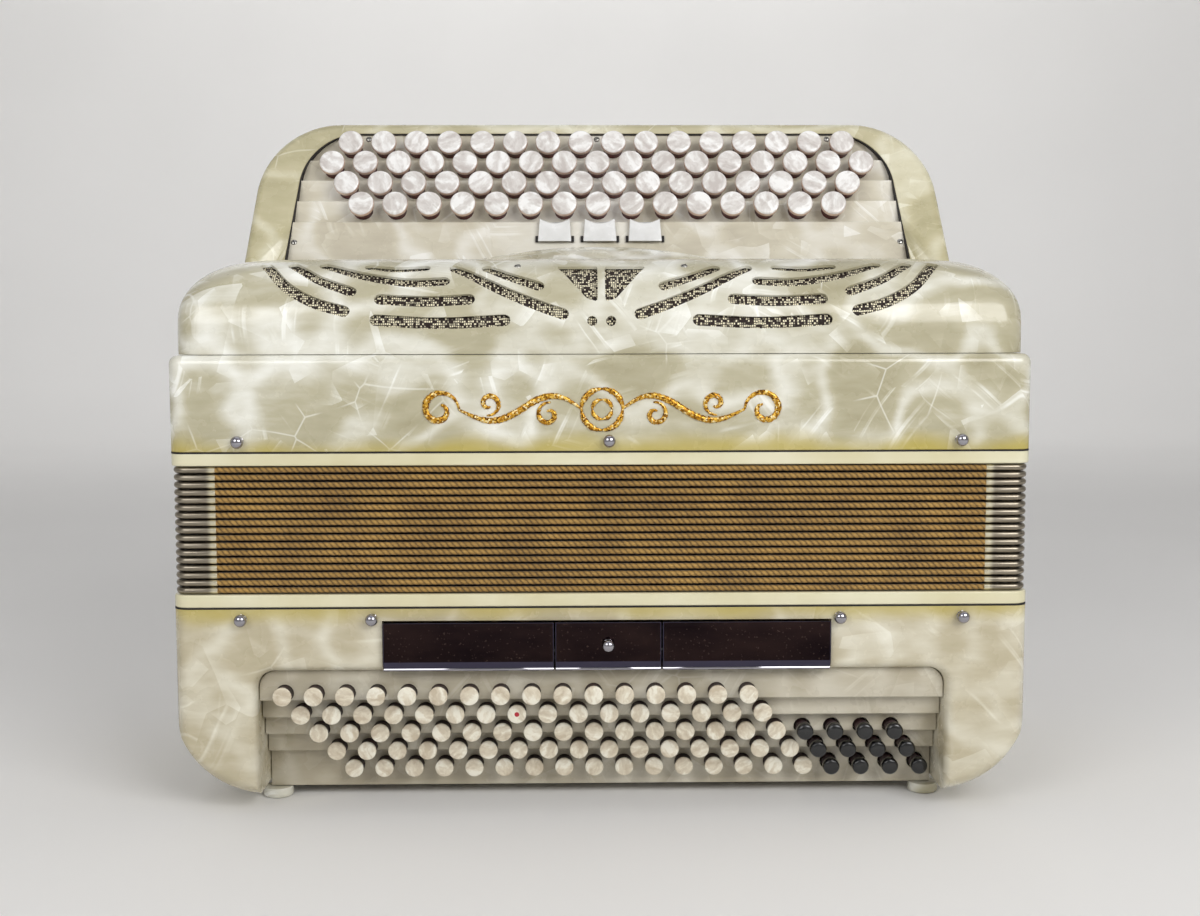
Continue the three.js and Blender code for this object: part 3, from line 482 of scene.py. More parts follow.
def turned(mesh, profile, origin, axis, segments=24, materials=None):
    """A turned solid: profile is (radius, height along axis) in millimetres, without the centre points."""
    side, other = frame_of(axis)
    rings = []
    for radius, height in profile:
        ring = []
        for i in range(segments):
            angle = math.tau * i / segments
            arm = math.cos(angle) * side + math.sin(angle) * other
            ring.append(origin + (axis * height + arm * radius) * MM)
        rings.append(ring)
    before = len(mesh.faces)
    loft(mesh, rings)
    mesh.faces.ensure_lookup_table()
    made = mesh.faces[before:]
    if materials:
        for ring in range(len(profile) - 1):
            for face in made[ring * segments:(ring + 1) * segments]:
                face.material_index = materials[ring]
        made[-2].material_index = materials[0]
        made[-1].material_index = materials[-1]
    return made


def prism(outline, axis, low, high):
    """A straight solid from an outline in (Y, Z), (X, Z) or (X, Y), millimetres from the front face in Y."""
    mesh = bmesh.new()
    place = {
        "x": lambda a, b, along: Vector((along * MM, behind(a), b * MM)),
        "y": lambda a, b, along: Vector((a * MM, behind(along), b * MM)),
        "z": lambda a, b, along: Vector((a * MM, behind(b), along * MM)),
    }[axis]
    loft(mesh, [[place(a, b, along) for a, b in outline] for along in (low, high)])
    bmesh.ops.recalc_face_normals(mesh, faces=mesh.faces)
    return mesh


def loose(mesh, name="cutter"):
    data = bpy.data.meshes.new(name)
    mesh.to_mesh(data)
    mesh.free()
    piece = bpy.data.objects.new(name, data)
    bpy.context.scene.collection.objects.link(piece)
    return piece


def cut(piece, other, operation="DIFFERENCE"):
    change = piece.modifiers.new("cut", "BOOLEAN")
    change.operation = operation
    change.solver = "EXACT"
    change.object = other
    bake(piece)
    bpy.data.objects.remove(other)


def soften(piece, width, angle=40, segments=3, wide=None):
    """Rounds the sharp edges, those that wide() picks by the full width and the rest by a fifth of it."""
    mesh = bmesh.new()
    mesh.from_mesh(piece.data)
    weight = mesh.edges.layers.float.get("bevel_weight_edge") or mesh.edges.layers.float.new("bevel_weight_edge")
    for edge in mesh.edges:
        if len(edge.link_faces) == 2 and edge.calc_face_angle() > math.radians(angle):
            middle = (edge.verts[0].co + edge.verts[1].co) / 2
            edge[weight] = 1.0 if wide is None or wide(middle) else 0.2
    mesh.to_mesh(piece.data)
    mesh.free()
    bevel = piece.modifiers.new("bevel", "BEVEL")
    bevel.limit_method = "WEIGHT"
    bevel.width = width
    bevel.segments = segments
    bevel.use_clamp_overlap = False
    bake(piece)
    piece.data.shade_smooth()
    piece.data.set_sharp_from_angle(angle=math.radians(50))
    piece.modifiers.new("even", "WEIGHTED_NORMAL").keep_sharp = True
    return bake(piece)


def shell(node, name, slot, material, width, segments=3, wide=None):
    """A casing with the CAD node's shape and its edges rounded."""
    mesh = bmesh.new()
    mesh.from_mesh(frame["nodes"][node].data)
    bmesh.ops.remove_doubles(mesh, verts=mesh.verts, dist=2e-6)
    bmesh.ops.dissolve_limit(mesh, angle_limit=math.radians(0.5), verts=mesh.verts, edges=mesh.edges)
    piece = add_piece(name, mesh, NODE_BODY[node], slot, material)
    soften(piece, width, segments=segments, wide=wide)
    piece.data.materials.clear()
    piece.data.materials.append(material)
    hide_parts(node)
    return piece


def cabinet_loop(inset, radius, across, along, turns=8):
    """Points and outward directions round the cabinet, moved in by inset. The counts don't depend on it."""
    hx, y0, y1 = HALF - inset - radius, FRONT + inset + radius, BACK - inset - radius
    centres = [(hx, y0, -90), (hx, y1, 0), (-hx, y1, 90), (-hx, y0, 180)]
    points = []
    for corner, (cx, cy, start) in enumerate(centres):
        for i in range(turns + 1):
            angle = math.radians(start + 90 * i / turns)
            out = Vector((math.cos(angle), math.sin(angle), 0))
            points.append((Vector((cx, cy, 0)) + out * radius, out))
        following = centres[(corner + 1) % 4]
        steps = along if corner % 2 == 0 else across
        angle = math.radians(start + 90)
        out = Vector((math.cos(angle), math.sin(angle), 0))
        begin, end = points[-1][0], Vector((following[0], following[1], 0)) + out * radius
        points += [(begin.lerp(end, i / steps), out) for i in range(1, steps)]
    return points


# ---- Cabinets and other casings ----
BASS_CORNER, BASS_BOTTOM = 46.0, 9.0
WALL = 7.0
FULL_DEPTH = (BACK - FRONT) / MM
WELL_HALF, WELL_TOP, WELL_ROUND, WELL_DEPTH = 177.0, 74.5, 9.0, 56.0
WELL_RIM = 5.0
RECESS_HALF, PALM_PLATE_TOP = 165.0, 45.0


def round_outline(left, bottom, right, top, lower, upper, steps=10):
    """(X, Z) outline with round corners. The number of points doesn't depend on the size."""
    centres = ((left + lower, bottom + lower, lower, 180), (right - lower, bottom + lower, lower, 270),
               (right - upper, top - upper, upper, 0), (left + upper, top - upper, upper, 90))
    points = []
    for cx, cz, radius, start in centres:
        for i in range(steps + 1):
            angle = math.radians(start + 90 * i / steps)
            points.append((cx + radius * math.cos(angle), cz + radius * math.sin(angle)))
    return points


def block(x0, x1, depth0, depth1, z0, z1):
    return loose(prism([(x0, z0), (x1, z0), (x1, z1), (x0, z1)], "y", depth0, depth1))


def plan_solid(levels):
    """A solid with the cabinets' plan, from its (height in metres, inset in metres) levels."""
    mesh = bmesh.new()
    loft(mesh, [[p + Vector((0, 0, z)) for p, _ in cabinet_loop(inset, EDGE_RADIUS - inset, 2, 2, turns=10)]
                for z, inset in levels])
    bmesh.ops.recalc_face_normals(mesh, faces=mesh.faces)
    return mesh


def lower_corner_solid(fillet, turns=6):
    """The bass cabinet's outline with its big lower corners, rounded in towards the front and the back."""
    outline = round_outline(-HALF / MM, BASS_BOTTOM, HALF / MM, BASS_TOP / MM + 20, BASS_CORNER, 0.01, steps=14)
    count = len(outline)
    points = []
    for i, (x, z) in enumerate(outline):
        before, after = outline[i - 1], outline[(i + 1) % count]
        inward = Vector((before[1] - after[1], after[0] - before[0])).normalized()
        share = max(0.01, inward.y) if z < BASS_BOTTOM + BASS_CORNER else 0.01
        points.append((x, z, inward, fillet * share))
    stations = [(1 - math.sin(math.pi / 2 * i / turns), 1 - math.cos(math.pi / 2 * i / turns)) for i in range(turns + 1)]
    mesh = bmesh.new()
    rings = []
    for depth_share, inset_share in reversed(stations):
        rings.append([Vector(((x + n.x * r * inset_share) * MM, behind(r * depth_share), (z + n.y * r * inset_share) * MM))
                      for x, z, n, r in points])
    for depth_share, inset_share in stations:
        rings.append([Vector(((x + n.x * r * inset_share) * MM, behind(FULL_DEPTH - r * depth_share),
                              (z + n.y * r * inset_share) * MM)) for x, z, n, r in points])
    loft(mesh, rings)
    bmesh.ops.recalc_face_normals(mesh, faces=mesh.faces)
    return mesh


def well_cutter():
    """Cuts the button well, with a rounded rim."""
    turns = 6
    levels = [(-1.0, WELL_RIM)]
    for i in range(turns + 1):
        angle = math.pi / 2 * i / turns
        levels.append((WELL_RIM * (1 - math.cos(angle)), WELL_RIM * (1 - math.sin(angle))))
    levels.append((WELL_DEPTH, 0.0))
    mesh = bmesh.new()
    rings = []
    for depth, spread in levels:
        outline = round_outline(-WELL_HALF - spread, -5, WELL_HALF + spread, WELL_TOP + spread, 0.01,
                                WELL_ROUND + spread)
        rings.append([Vector((x * MM, behind(depth), z * MM)) for x, z in outline])
    loft(mesh, rings)
    bmesh.ops.recalc_face_normals(mesh, faces=mesh.faces)
    return loose(mesh)


def make_bass_cabinet():
    case = add_piece("bass_cabinet", lower_corner_solid(9.0), "bass_side", "pearl_celluloid", PEARL_BASS)
    cut(case, loose(plan_solid([(-0.001, 0), (BASS_TOP - 0.4 * MM, 0), (BASS_TOP, 0.4 * MM)])), "INTERSECT")
    inner = round_outline(-HALF / MM + WALL, BASS_BOTTOM + WALL, HALF / MM - WALL, BASS_TOP / MM + 1,
                          BASS_CORNER - WALL, 0.01)
    cut(case, loose(prism(inner, "y", WALL, FULL_DEPTH - WALL)))
    for side in (-1, 1):
        edges = sorted((side * (WELL_HALF - 1), side * (WELL_HALF + 4)))
        cut(case, block(*edges, WALL - 1, WELL_DEPTH, BASS_BOTTOM + 2, WELL_TOP + 6), "UNION")
    cut(case, well_cutter())
    left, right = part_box("bass_register_left")[0].x / MM - 0.6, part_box("bass_register_right")[1].x / MM + 0.6
    cut(case, block(left, right, -1, WALL + 1, 70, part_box("bass_register_centre")[1].z / MM + 0.8))
    cut(case, block(-RECESS_HALF, RECESS_HALF, WELL_DEPTH - 1, FULL_DEPTH + 1, 0, PALM_PLATE_TOP))
    low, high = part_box("strap_adjuster_wheel")
    cut(case, block(low.x / MM - 1, high.x / MM + 1, FULL_DEPTH - WALL - 1, FULL_DEPTH + 1, low.z / MM - 1,
                    high.z / MM + 1))
    bore = bmesh.new()
    low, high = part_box("air_button")
    start = Vector(((low.x + high.x) / 2, BACK - 8 * MM, (low.z + high.z) / 2))
    turned(bore, [(7.4, 0.0), (7.4, 9.0)], start, Vector((0, 1, 0)), 32)
    bmesh.ops.recalc_face_normals(bore, faces=bore.faces)
    cut(case, loose(bore))
    case.data.set_sharp_from_angle(angle=math.radians(35))
    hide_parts("bass_case")


TREBLE_EDGE = 4.5  # radius of the treble cabinet's top edge


def make_treble_cabinet():
    low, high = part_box("treble_case")
    levels = [(low.z, 0.4 * MM), (low.z + 0.4 * MM, 0.0)]
    for i in range(7):
        angle = math.pi / 2 * i / 6
        levels.append((high.z - TREBLE_EDGE * MM * (1 - math.sin(angle)), TREBLE_EDGE * MM * (1 - math.cos(angle))))
    case = add_piece("treble_cabinet", plan_solid(levels), "treble_side", "pearl_celluloid", PEARL_MAIN)
    top = high.z / MM
    wall = HALF / MM - WALL
    cut(case, block(-wall, wall, WALL, FULL_DEPTH - WALL, low.z / MM - 1, top - 4))
    cut(case, block(-205, 205, 11, 97, top - 5, top + 1))
    cut(case, block(-192, 192, 107, 186, top - 5, top + 1))
    case.data.set_sharp_from_angle(angle=math.radians(35))
    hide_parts("treble_case")


KEYBOARD = {"half": 203.2, "half_top": 199.8, "round": 45.0, "top": 372.2, "front": 101.3, "edge": 4.5, "wall": 5.0}
SLOPE_TOP, SLOPE_FOOT = (167.0, 372.2), (104.0, 287.0)  # (depth, height)
BOARD_HALF, BOARD_TOP, BOARD_ROUND = 177.5, 365.0, 32.0
APRON_FOOT = (110.0, 287.0)


def slope_depth(z):
    """Depth of the keyboard casing's front at a height."""
    share = (z - SLOPE_FOOT[1]) / (SLOPE_TOP[1] - SLOPE_FOOT[1])
    if share > 0:
        return SLOPE_FOOT[0] + (SLOPE_TOP[0] - SLOPE_FOOT[0]) * share
    return max(KEYBOARD["front"], SLOPE_FOOT[0] + (z - SLOPE_FOOT[1]) * 0.7)


def arch(half, half_top, radius, top, foot, lean=0.0, sides=14, turns=16, level=15):
    """(X, Z) points of an arch with round shoulders, from its right foot over to its left one and back."""
    right = [(half + (half_top - lean - half) * i / sides, foot + (top - radius - foot) * i / sides) for i in range(sides)]
    for i in range(turns + 1):
        angle = math.pi / 2 * i / turns
        right.append((half_top - lean - radius + radius * math.cos(angle), top - radius + radius * math.sin(angle)))
    reach = right[-1][0]
    over = [(reach * (1 - 2 * i / level), top) for i in range(1, level)]
    under = [(-half * (1 - 2 * i / level), foot) for i in range(1, level)]
    return right + over + [(-x, z) for x, z in reversed(right)] + under


def keyboard_ring(inset, depth_at):
    foot = TREBLE_TOP / MM + 0.3
    points = arch(KEYBOARD["half"] - inset, KEYBOARD["half_top"] - inset, KEYBOARD["round"] - inset,
                  KEYBOARD["top"] - inset, foot)
    return [Vector((x * MM, behind(depth_at(z)), z * MM)) for x, z in points]


def board_ring(spare, depth_at):
    """The opening's outline, matched point by point to keyboard_ring."""
    points = arch(BOARD_HALF + spare, BOARD_HALF + spare, BOARD_ROUND + spare, BOARD_TOP + spare,
                  APRON_FOOT[1] - 0.5, lean=3.0)
    return [Vector((x * MM, behind(depth_at(z)), z * MM)) for x, z in points]


def make_keyboard_casing():
    edge, wall, chamfer = KEYBOARD["edge"], KEYBOARD["wall"], 10.0
    turns = 7
    rings = []

    def chamfered(ring, limit):
        for point in ring:
            point.z = min(point.z, limit * MM)
        return ring

    top = KEYBOARD["top"]
    rings.append(chamfered(keyboard_ring(2.0, lambda z: FULL_DEPTH), top - chamfer - 1.4))
    rings.append(chamfered(keyboard_ring(0.6, lambda z: FULL_DEPTH - 0.6), top - chamfer - 0.4))
    rings.append(chamfered(keyboard_ring(0.0, lambda z: FULL_DEPTH - 2.0), top - chamfer + 1.4))
    rings.append(keyboard_ring(0.0, lambda z: FULL_DEPTH - chamfer - 0.5))
    for i in range(turns + 1):
        angle = math.pi / 2 * i / turns
        inset, drop = edge * (1 - math.cos(angle)), edge * (1 - math.sin(angle))
        rings.append(keyboard_ring(inset, lambda z: slope_depth(z) + drop))
    rings.append(board_ring(1.05, slope_depth))
    rings.append(board_ring(0.75, lambda z: slope_depth(z) + 0.35))
    rings.append(board_ring(0.7, lambda z: slope_depth(z) + wall + 3))
    rings.append(keyboard_ring(wall, lambda z: slope_depth(z) + wall + 3))
    rings.append(keyboard_ring(wall, lambda z: FULL_DEPTH - chamfer - 2))
    rings.append(chamfered(keyboard_ring(wall, lambda z: FULL_DEPTH - wall), top - chamfer - 4))
    mesh = bmesh.new()
    loft(mesh, rings)
    casing = add_piece("keyboard_casing", mesh, "treble_side", "pearl_celluloid", PEARL_KEYBOARD, sharp=40)
    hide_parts("keyboard_case")


def make_small_casings():
    shell("bass_end_cover", "bass_end_tub", "pearl_celluloid", PEARL_BASS, 0.8 * MM, segments=2)
    for node in ("bass_bellows_frame", "treble_bellows_frame"):
        shell(node, node + "_moulding", "cream_celluloid", CREAM, 0.8 * MM, segments=2)
    for side in ("left", "right"):
        shell(f"strap_bracket_{side}", f"strap_loop_{side}", "steel", STEEL, 0.5 * MM, segments=2)


def ring_band(name, body, inset, low, high, depth, slot, material):
    """A thin band round the cabinet."""
    mesh = bmesh.new()
    rings = []
    for point, out in cabinet_loop(inset, EDGE_RADIUS - inset, 4, 2):
        inner = point - out * depth
        rings.append([Vector((p.x, p.y, z)) for p, z in ((point, low), (point, high), (inner, high), (inner, low))])
    loft(mesh, rings, loop=True)
    return add_piece(name, mesh, body, slot, material)


def make_liners():
    """Black lines where the cabinets meet the bellows frames."""
    half_line = 0.42 * MM
    proud = -0.08 * MM
    for name, body, z in (("treble_liner", "treble_side", TREBLE_BOTTOM), ("bass_liner", "bass_side", BASS_TOP)):
        ring_band(name, body, proud, z - half_line, z + half_line, 3 * MM, "cream_celluloid", BLACK_LINER_AND_SHADE)


# ---- Bellows ----
CORD_INSET = 2.55 * MM  # cord's middle behind the cabinet's faces
CORD_RADIUS = 1.4 * MM
VALLEY_INSET = 22 * MM


def fold_middle(fold):
    low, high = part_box(f"bellows_fold_{fold:02d}")
    return (low.z + high.z) / 2


def make_fold(fold):
    """A fold's edge: a twisted gold cord all round, with a smooth steel sleeve at each corner."""
    z = fold_middle(fold)
    body = f"fold_{fold:02d}"
    sides = 10
    cord = bmesh.new()
    path = cabinet_loop(CORD_INSET, EDGE_RADIUS - CORD_INSET, 500, 220)
    rings, travelled = [], [fold * 1.3]
    for i, (point, out) in enumerate(path):
        if i:
            travelled.append(travelled[-1] + (point - path[i - 1][0]).length / MM)
        ring = []
        for k in range(sides):
            angle = math.tau * k / sides
            strand = abs(math.sin(math.pi * (travelled[-1] / STRAND_PITCH + 2 * k / sides)))**0.6
            radius = CORD_RADIUS * (0.84 + 0.19 * strand)
            ring.append(point + out * (radius * math.cos(angle)) + Vector((0, 0, z + radius * math.sin(angle))))
        rings.append(ring)
    loft(cord, rings, loop=True)
    cord.verts.index_update()
    layer = cord.loops.layers.uv.new("UVMap")
    lap = travelled[-1] + (path[0][0] - path[-1][0]).length / MM - travelled[0]
    for face in cord.faces:
        spots = [(travelled[corner.vert.index // sides], (corner.vert.index % sides) / sides) for corner in face.loops]
        furthest, highest = max(u for u, v in spots), max(v for u, v in spots)
        for corner, (u, v) in zip(face.loops, spots):
            corner[layer].uv = (u + lap * (furthest - u > lap / 2), v + (highest - v > 0.5))
    piece = add_piece(f"bellows_cord_{fold:02d}", cord, body, "bellows_cloth", BRAID, sharp=180)
    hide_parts(f"bellows_fold_{fold:02d}")

    sleeves = bmesh.new()
    for sx, sy in ((-1, -1), (1, -1), (1, 1), (-1, 1)):
        corner = Vector((sx * HALF, FRONT if sy < 0 else BACK, 0))
        bend = EDGE_RADIUS - CORD_INSET
        line = [Vector((-sx * (CORNER_REACH - 0.3 * MM * i), -sy * CORD_INSET, 0)) for i in (0, 1)]
        outs = [Vector((0, sy, 0))] * 2
        for i in range(13):
            angle = math.radians(90 * i / 12)
            out = Vector((sx * math.sin(angle), sy * math.cos(angle), 0))
            line.append(Vector((-sx, -sy, 0)) * EDGE_RADIUS + out * bend)
            outs.append(out)
        line += [Vector((-sx * CORD_INSET, -sy * (CORNER_REACH - 0.3 * MM * i), 0)) for i in (1, 0)]
        outs += [Vector((sx, 0, 0))] * 2
        swell = [0.94] + [1.0] * (len(line) - 2) + [0.94]
        rings = []
        for point, out, grow in zip(line, outs, swell):
            radius = 1.66 * MM * grow
            rings.append([
                corner + point + out * (radius * math.cos(a)) + Vector((0, 0, z + radius * math.sin(a)))
                for a in (math.tau * k / 14 for k in range(14))
            ])
        loft(sleeves, rings)
    add_piece(f"bellows_corners_{fold:02d}", sleeves, body, "steel", CORNER_STEEL, sharp=50)


def unsmooth(share):
    """The t whose smoothstep is share."""
    return 0.5 - math.sin(math.asin(1 - 2 * share) / 3)


def make_gusset(gap):
    """Cloth from one fold's cord in to the valley and out to the next."""
    first = BASS_FRAME_TOP - 0.3 * MM if gap == 0 else fold_middle(gap) + 0.8 * MM
    last = TREBLE_FRAME_BOTTOM + 0.3 * MM if gap == FOLDS else fold_middle(gap + 1) - 0.8 * MM
    shares = [(gap + part) / (FOLDS + 1) for part in (0, 1)]
    low, high = (unsmooth(share) for share in shares)
    reach = (last - first) / (high - low)
    start = first - low * reach
    mesh = bmesh.new()
    layers = []
    steps = 12
    for i in range(steps + 1):
        part = i / steps
        share = (gap + part) / (FOLDS + 1)
        z = start + unsmooth(share) * reach
        inward = 1 - abs(2 * part - 1)
        inset = CORD_INSET + (VALLEY_INSET - CORD_INSET) * math.sin(inward * math.pi / 2) ** 0.9
        radius = max(EDGE_RADIUS - inset, 1.5 * MM)
        layers.append([p + Vector((0, 0, z)) for p, _ in cabinet_loop(inset, radius, 40, 18, turns=4)])
    loft(mesh, layers, caps=False)
    piece = add_piece(f"bellows_gusset_{gap + 1:02d}", mesh, None, "bellows_cloth", CLOTH)
    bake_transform(piece)


# ---- Grille cover ----
GRILLE = {"inset": 4.4, "side_inset": 2.4, "back": 101.0, "front_round": 38.0, "side_round": 30.0, "skin": 1.5,
          "corner": 14.0}
GRILLE_TOP = 285.5
# Middle line of each slot on one side, as (X, degrees round the front curve), and its width.
SLOTS = (
    (((-114, 9), (-82, 6.6), (-49, 8.8)), 6.0),
    (((-112, 25.7), (-89, 23.9), (-67, 25.6)), 6.0),
    (((-142, 63), (-123, 49.5), (-100, 41.5), (-80, 42.5)), 6.0),
    (((-119, 60.5), (-105, 57), (-90, 59)), 5.0),
    (((-172, 63), (-160.5, 38), (-146, 23.5), (-130, 16)), 6.0),
    (((-158, 63), (-144, 44.5), (-127, 32.5)), 6.0),
    (((-75, 58), (-54, 36.5), (-36, 23), (-19.5, 13.5)), 6.0),
    (((-58.5, 58), (-47, 47.5), (-32, 37.5)), 6.0),
    (((-4.8, 8.2), (-4.8, 8.0)), 5.2),
)
FAN = ((2.7, 60), (22, 60), (14, 41), (7, 27), (2.7, 25))


def smooth_line(points, steps=10):
    """Catmull-Rom points through a short list of 2-D points."""
    if len(points) < 3:
        return [Vector(p) for p in points]
    ends = [2 * Vector(points[0]) - Vector(points[1]), *map(Vector, points),
            2 * Vector(points[-1]) - Vector(points[-2])]
    line = []
    for a, b, c, d in zip(ends, ends[1:], ends[2:], ends[3:]):
        for i in range(steps):
            t = i / steps
            line.append(0.5 * (2 * b + (c - a) * t + (2 * a - 5 * b + 4 * c - d) * t**2
                               + (3 * b - a - 3 * c + d) * t**3))
    return line + [Vector(points[-1])]


def distance_to_line(point, line):
    best = 1e9
    for a, b in zip(line, line[1:]):
        along = b - a
        t = max(0.0, min(1.0, (point - a).dot(along) / max(along.length_squared, 1e-12)))
        best = min(best, (point - a - along * t).length)
    return best


def distance_to_polygon(point, corners):
    """Signed distance, negative inside."""
    inside = False
    best = 1e9
    for a, b in zip(corners, corners[1:] + corners[:1]):
        along = b - a
        t = max(0.0, min(1.0, (point - a).dot(along) / along.length_squared))
        best = min(best, (point - a - along * t).length)
        if (a.y > point.y) != (b.y > point.y):
            if point.x < a.x + (point.y - a.y) / (b.y - a.y) * (b.x - a.x):
                inside = not inside
    return -best if inside else best


PER_DEGREE = math.radians(GRILLE["front_round"])
SLOT_LINES = [(smooth_line([(x, a * PER_DEGREE) for x, a in line]), width / 2) for line, width in SLOTS]
FAN_CORNERS = [Vector((x, a * PER_DEGREE)) for x, a in FAN]


def outside_slots(x, s):
    """Distance in millimetres from a point of the cover to the nearest slot's edge, negative inside a slot."""
    point = Vector((-abs(x), s))
    best = distance_to_polygon(Vector((abs(x), s)), FAN_CORNERS) - 0.8
    for line, half in SLOT_LINES:
        if line[0].x - 12 < point.x < line[-1].x + 12 or len(line) == 2:
            best = min(best, distance_to_line(point, line) - half)
    return best


def grille_surface():
    """Rows of (point, X, distance round the front curve) over the cover's outside, from its foot to its flat top."""
    top = GRILLE_TOP * MM
    foot = TREBLE_TOP + 0.3 * MM
    front_round, side_round = GRILLE["front_round"] * MM, GRILLE["side_round"] * MM
    levels = [(foot + (top - front_round - foot) * i / 7, (top - front_round - foot) * (i / 7 - 1)) for i in range(7)]
    arcs = 40
    levels += [(top - front_round + front_round * math.sin(math.pi / 2 * i / arcs), front_round * math.pi / 2 * i / arcs)
               for i in range(arcs + 1)]
    rows = []
    for z, s in levels:
        round_angle = max(0.0, s / front_round)
        front_inset = front_round * (1 - math.cos(round_angle))
        rise = max(0.0, z - (top - side_round))
        side_inset = side_round - math.sqrt(max(side_round**2 - rise**2, 0))
        corner = GRILLE["corner"] * MM + 0.5 * (front_inset + side_inset)
        half = HALF - GRILLE["side_inset"] * MM - side_inset
        y0 = behind(GRILLE["inset"]) + front_inset
        y1 = behind(GRILLE["back"])
        row = []
        for i in range(12):
            row.append(Vector((-half, y1 + (y0 + corner - y1) * i / 12, z)))
        for i in range(12):
            angle = math.radians(180 + 90 * i / 12)
            row.append(Vector((-half + corner + corner * math.cos(angle), y0 + corner + corner * math.sin(angle), z)))
        columns = 250
        reach = half - corner
        for i in range(columns + 1):
            row.append(Vector((reach * (2 * i / columns - 1), y0, z)))
        row += [Vector((-p.x, p.y, z)) for p in row[23::-1]]
        rows.append([(p, p.x / MM, s / MM) for p in row])
    return rows, top


def clip(corners, values):
    """The part of a polygon where the value is positive: keys and shares of its corners."""
    kept = []
    count = len(corners)
    for i in range(count):
        j = (i + 1) % count
        a, b = values[i], values[j]
        if a > 0:
            kept.append((corners[i], corners[i], 0.0))
        if (a > 0) != (b > 0):
            kept.append((corners[i], corners[j], a / (a - b)))
    return kept


def make_grille():
    rows, top = grille_surface()
    mesh = bmesh.new()
    points = {}
    values = {}
    for r, row in enumerate(rows):
        for c, (point, x, s) in enumerate(row):
            points[r, c] = point
            value = outside_slots(x, s)
            values[r, c] = value if abs(value) > 0.08 else 0.08
    made = {}

    def corner(a, b, share):
        key = (a,) if a == b else tuple(sorted((a, b)))
        if key not in made:
            made[key] = mesh.verts.new(points[a].lerp(points[b], share))
        return made[key]

    for r in range(len(rows) - 1):
        for c in range(len(rows[0]) - 1):
            keys = [(r, c), (r, c + 1), (r + 1, c + 1), (r + 1, c)]
            kept = clip(keys, [values[k] for k in keys])
            face = []
            for a, b, share in kept:
                vertex = corner(a, b, share)
                if vertex not in face:
                    face.append(vertex)
            if len(face) > 2:
                mesh.faces.new(face)
    last = len(rows) - 1
    mesh.faces.new([corner((last, c), (last, c), 0.0) for c in range(len(rows[0]))])
    ends = [[corner((r, c), (r, c), 0.0) for r in range(len(rows))] for c in (0, len(rows[0]) - 1)]
    mesh.faces.new(ends[0] + ends[1][::-1])
    bmesh.ops.recalc_face_normals(mesh, faces=mesh.faces)
    if sum(f.normal.z for f in mesh.faces if f.normal.z > 0.5) <= 0:
        bmesh.ops.reverse_faces(mesh, faces=mesh.faces)
    piece = add_piece("grille_casing", mesh, "treble_side", "pearl_celluloid", PEARL_MAIN)
    wall = piece.modifiers.new("wall", "SOLIDIFY")
    wall.thickness = GRILLE["skin"] * MM
    wall.offset = -1
    bake(piece)
    piece.data.shade_smooth()
    piece.data.set_sharp_from_angle(angle=math.radians(40))
    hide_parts("grille_cover")
    return top


def make_hump(top):
    """The low swelling that leads up to the register tabs."""
    half, rise, start, end = 78.0, 9.4, 66.0, GRILLE["back"] - 0.2
    columns, depths = 64, 16
    mesh = bmesh.new()
    upper, lower = [], []
    for d in range(depths + 1):
        along = d / depths
        ramp = along * along * (3 - 2 * along)
        upper.append([])
        lower.append([])
        for c in range(columns + 1):
            x = half * (2 * c / columns - 1)
            hill = rise * (1 - (x / half) ** 2) * ramp
            y = behind(start + (end - start) * along)
            upper[-1].append(mesh.verts.new((x * MM, y, top + (hill - 0.05) * MM)))
            lower[-1].append(mesh.verts.new((x * MM, y, top - 0.6 * MM)))
    for grid in (upper, lower):
        for d in range(depths):
            for c in range(columns):
                mesh.faces.new((grid[d][c], grid[d][c + 1], grid[d + 1][c + 1], grid[d + 1][c]))
    rim_upper = upper[0] + [row[-1] for row in upper[1:]] + upper[-1][-2::-1] + [row[0] for row in upper[-2:0:-1]]
    rim_lower = lower[0] + [row[-1] for row in lower[1:]] + lower[-1][-2::-1] + [row[0] for row in lower[-2:0:-1]]
    for i in range(len(rim_upper)):
        j = (i + 1) % len(rim_upper)
        mesh.faces.new((rim_upper[i], rim_upper[j], rim_lower[j], rim_lower[i]))
    add_piece("register_rest", mesh, "treble_side", "pearl_celluloid", PEARL_MAIN, sharp=30)


def make_gauze(top):
    """The woven screen behind the slots: a curved sheet, with UVs in millimetres along and across it."""
    radius = (GRILLE["front_round"] - GRILLE["skin"] - 0.7) * MM
    centre_y, centre_z = behind(GRILLE["inset"] + GRILLE["front_round"]), top - GRILLE["front_round"] * MM
    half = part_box("grille_screen")[1].x
    columns, rows = 60, 56
    arc = radius * math.pi / 2
    sheet, lengths = [], []
    for r in range(rows + 1):
        s = -10 * MM + (arc + 30 * MM) * r / rows
        lengths.append(s / MM)
        angle = min(max(s / radius, 0.0), math.pi / 2)
        y = centre_y - radius * math.cos(angle) + max(s - arc, 0.0)
        z = centre_z + radius * math.sin(angle) + min(s, 0.0)
        sheet.append([Vector((half * (2 * c / columns - 1), y, z)) for c in range(columns + 1)])
    mesh = bmesh.new()
    loft(mesh, sheet, caps=False, closed=False)
    layer = mesh.loops.layers.uv.new("UVMap")
    mesh.verts.index_update()
    for face in mesh.faces:
        for corner in face.loops:
            row = corner.vert.index // (columns + 1)
            corner[layer].uv = (corner.vert.co.x / MM, lengths[row])
    piece = add_piece("grille_gauze", mesh, "treble_side", "woven_brass", GAUZE, sharp=180)
    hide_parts("grille_screen")


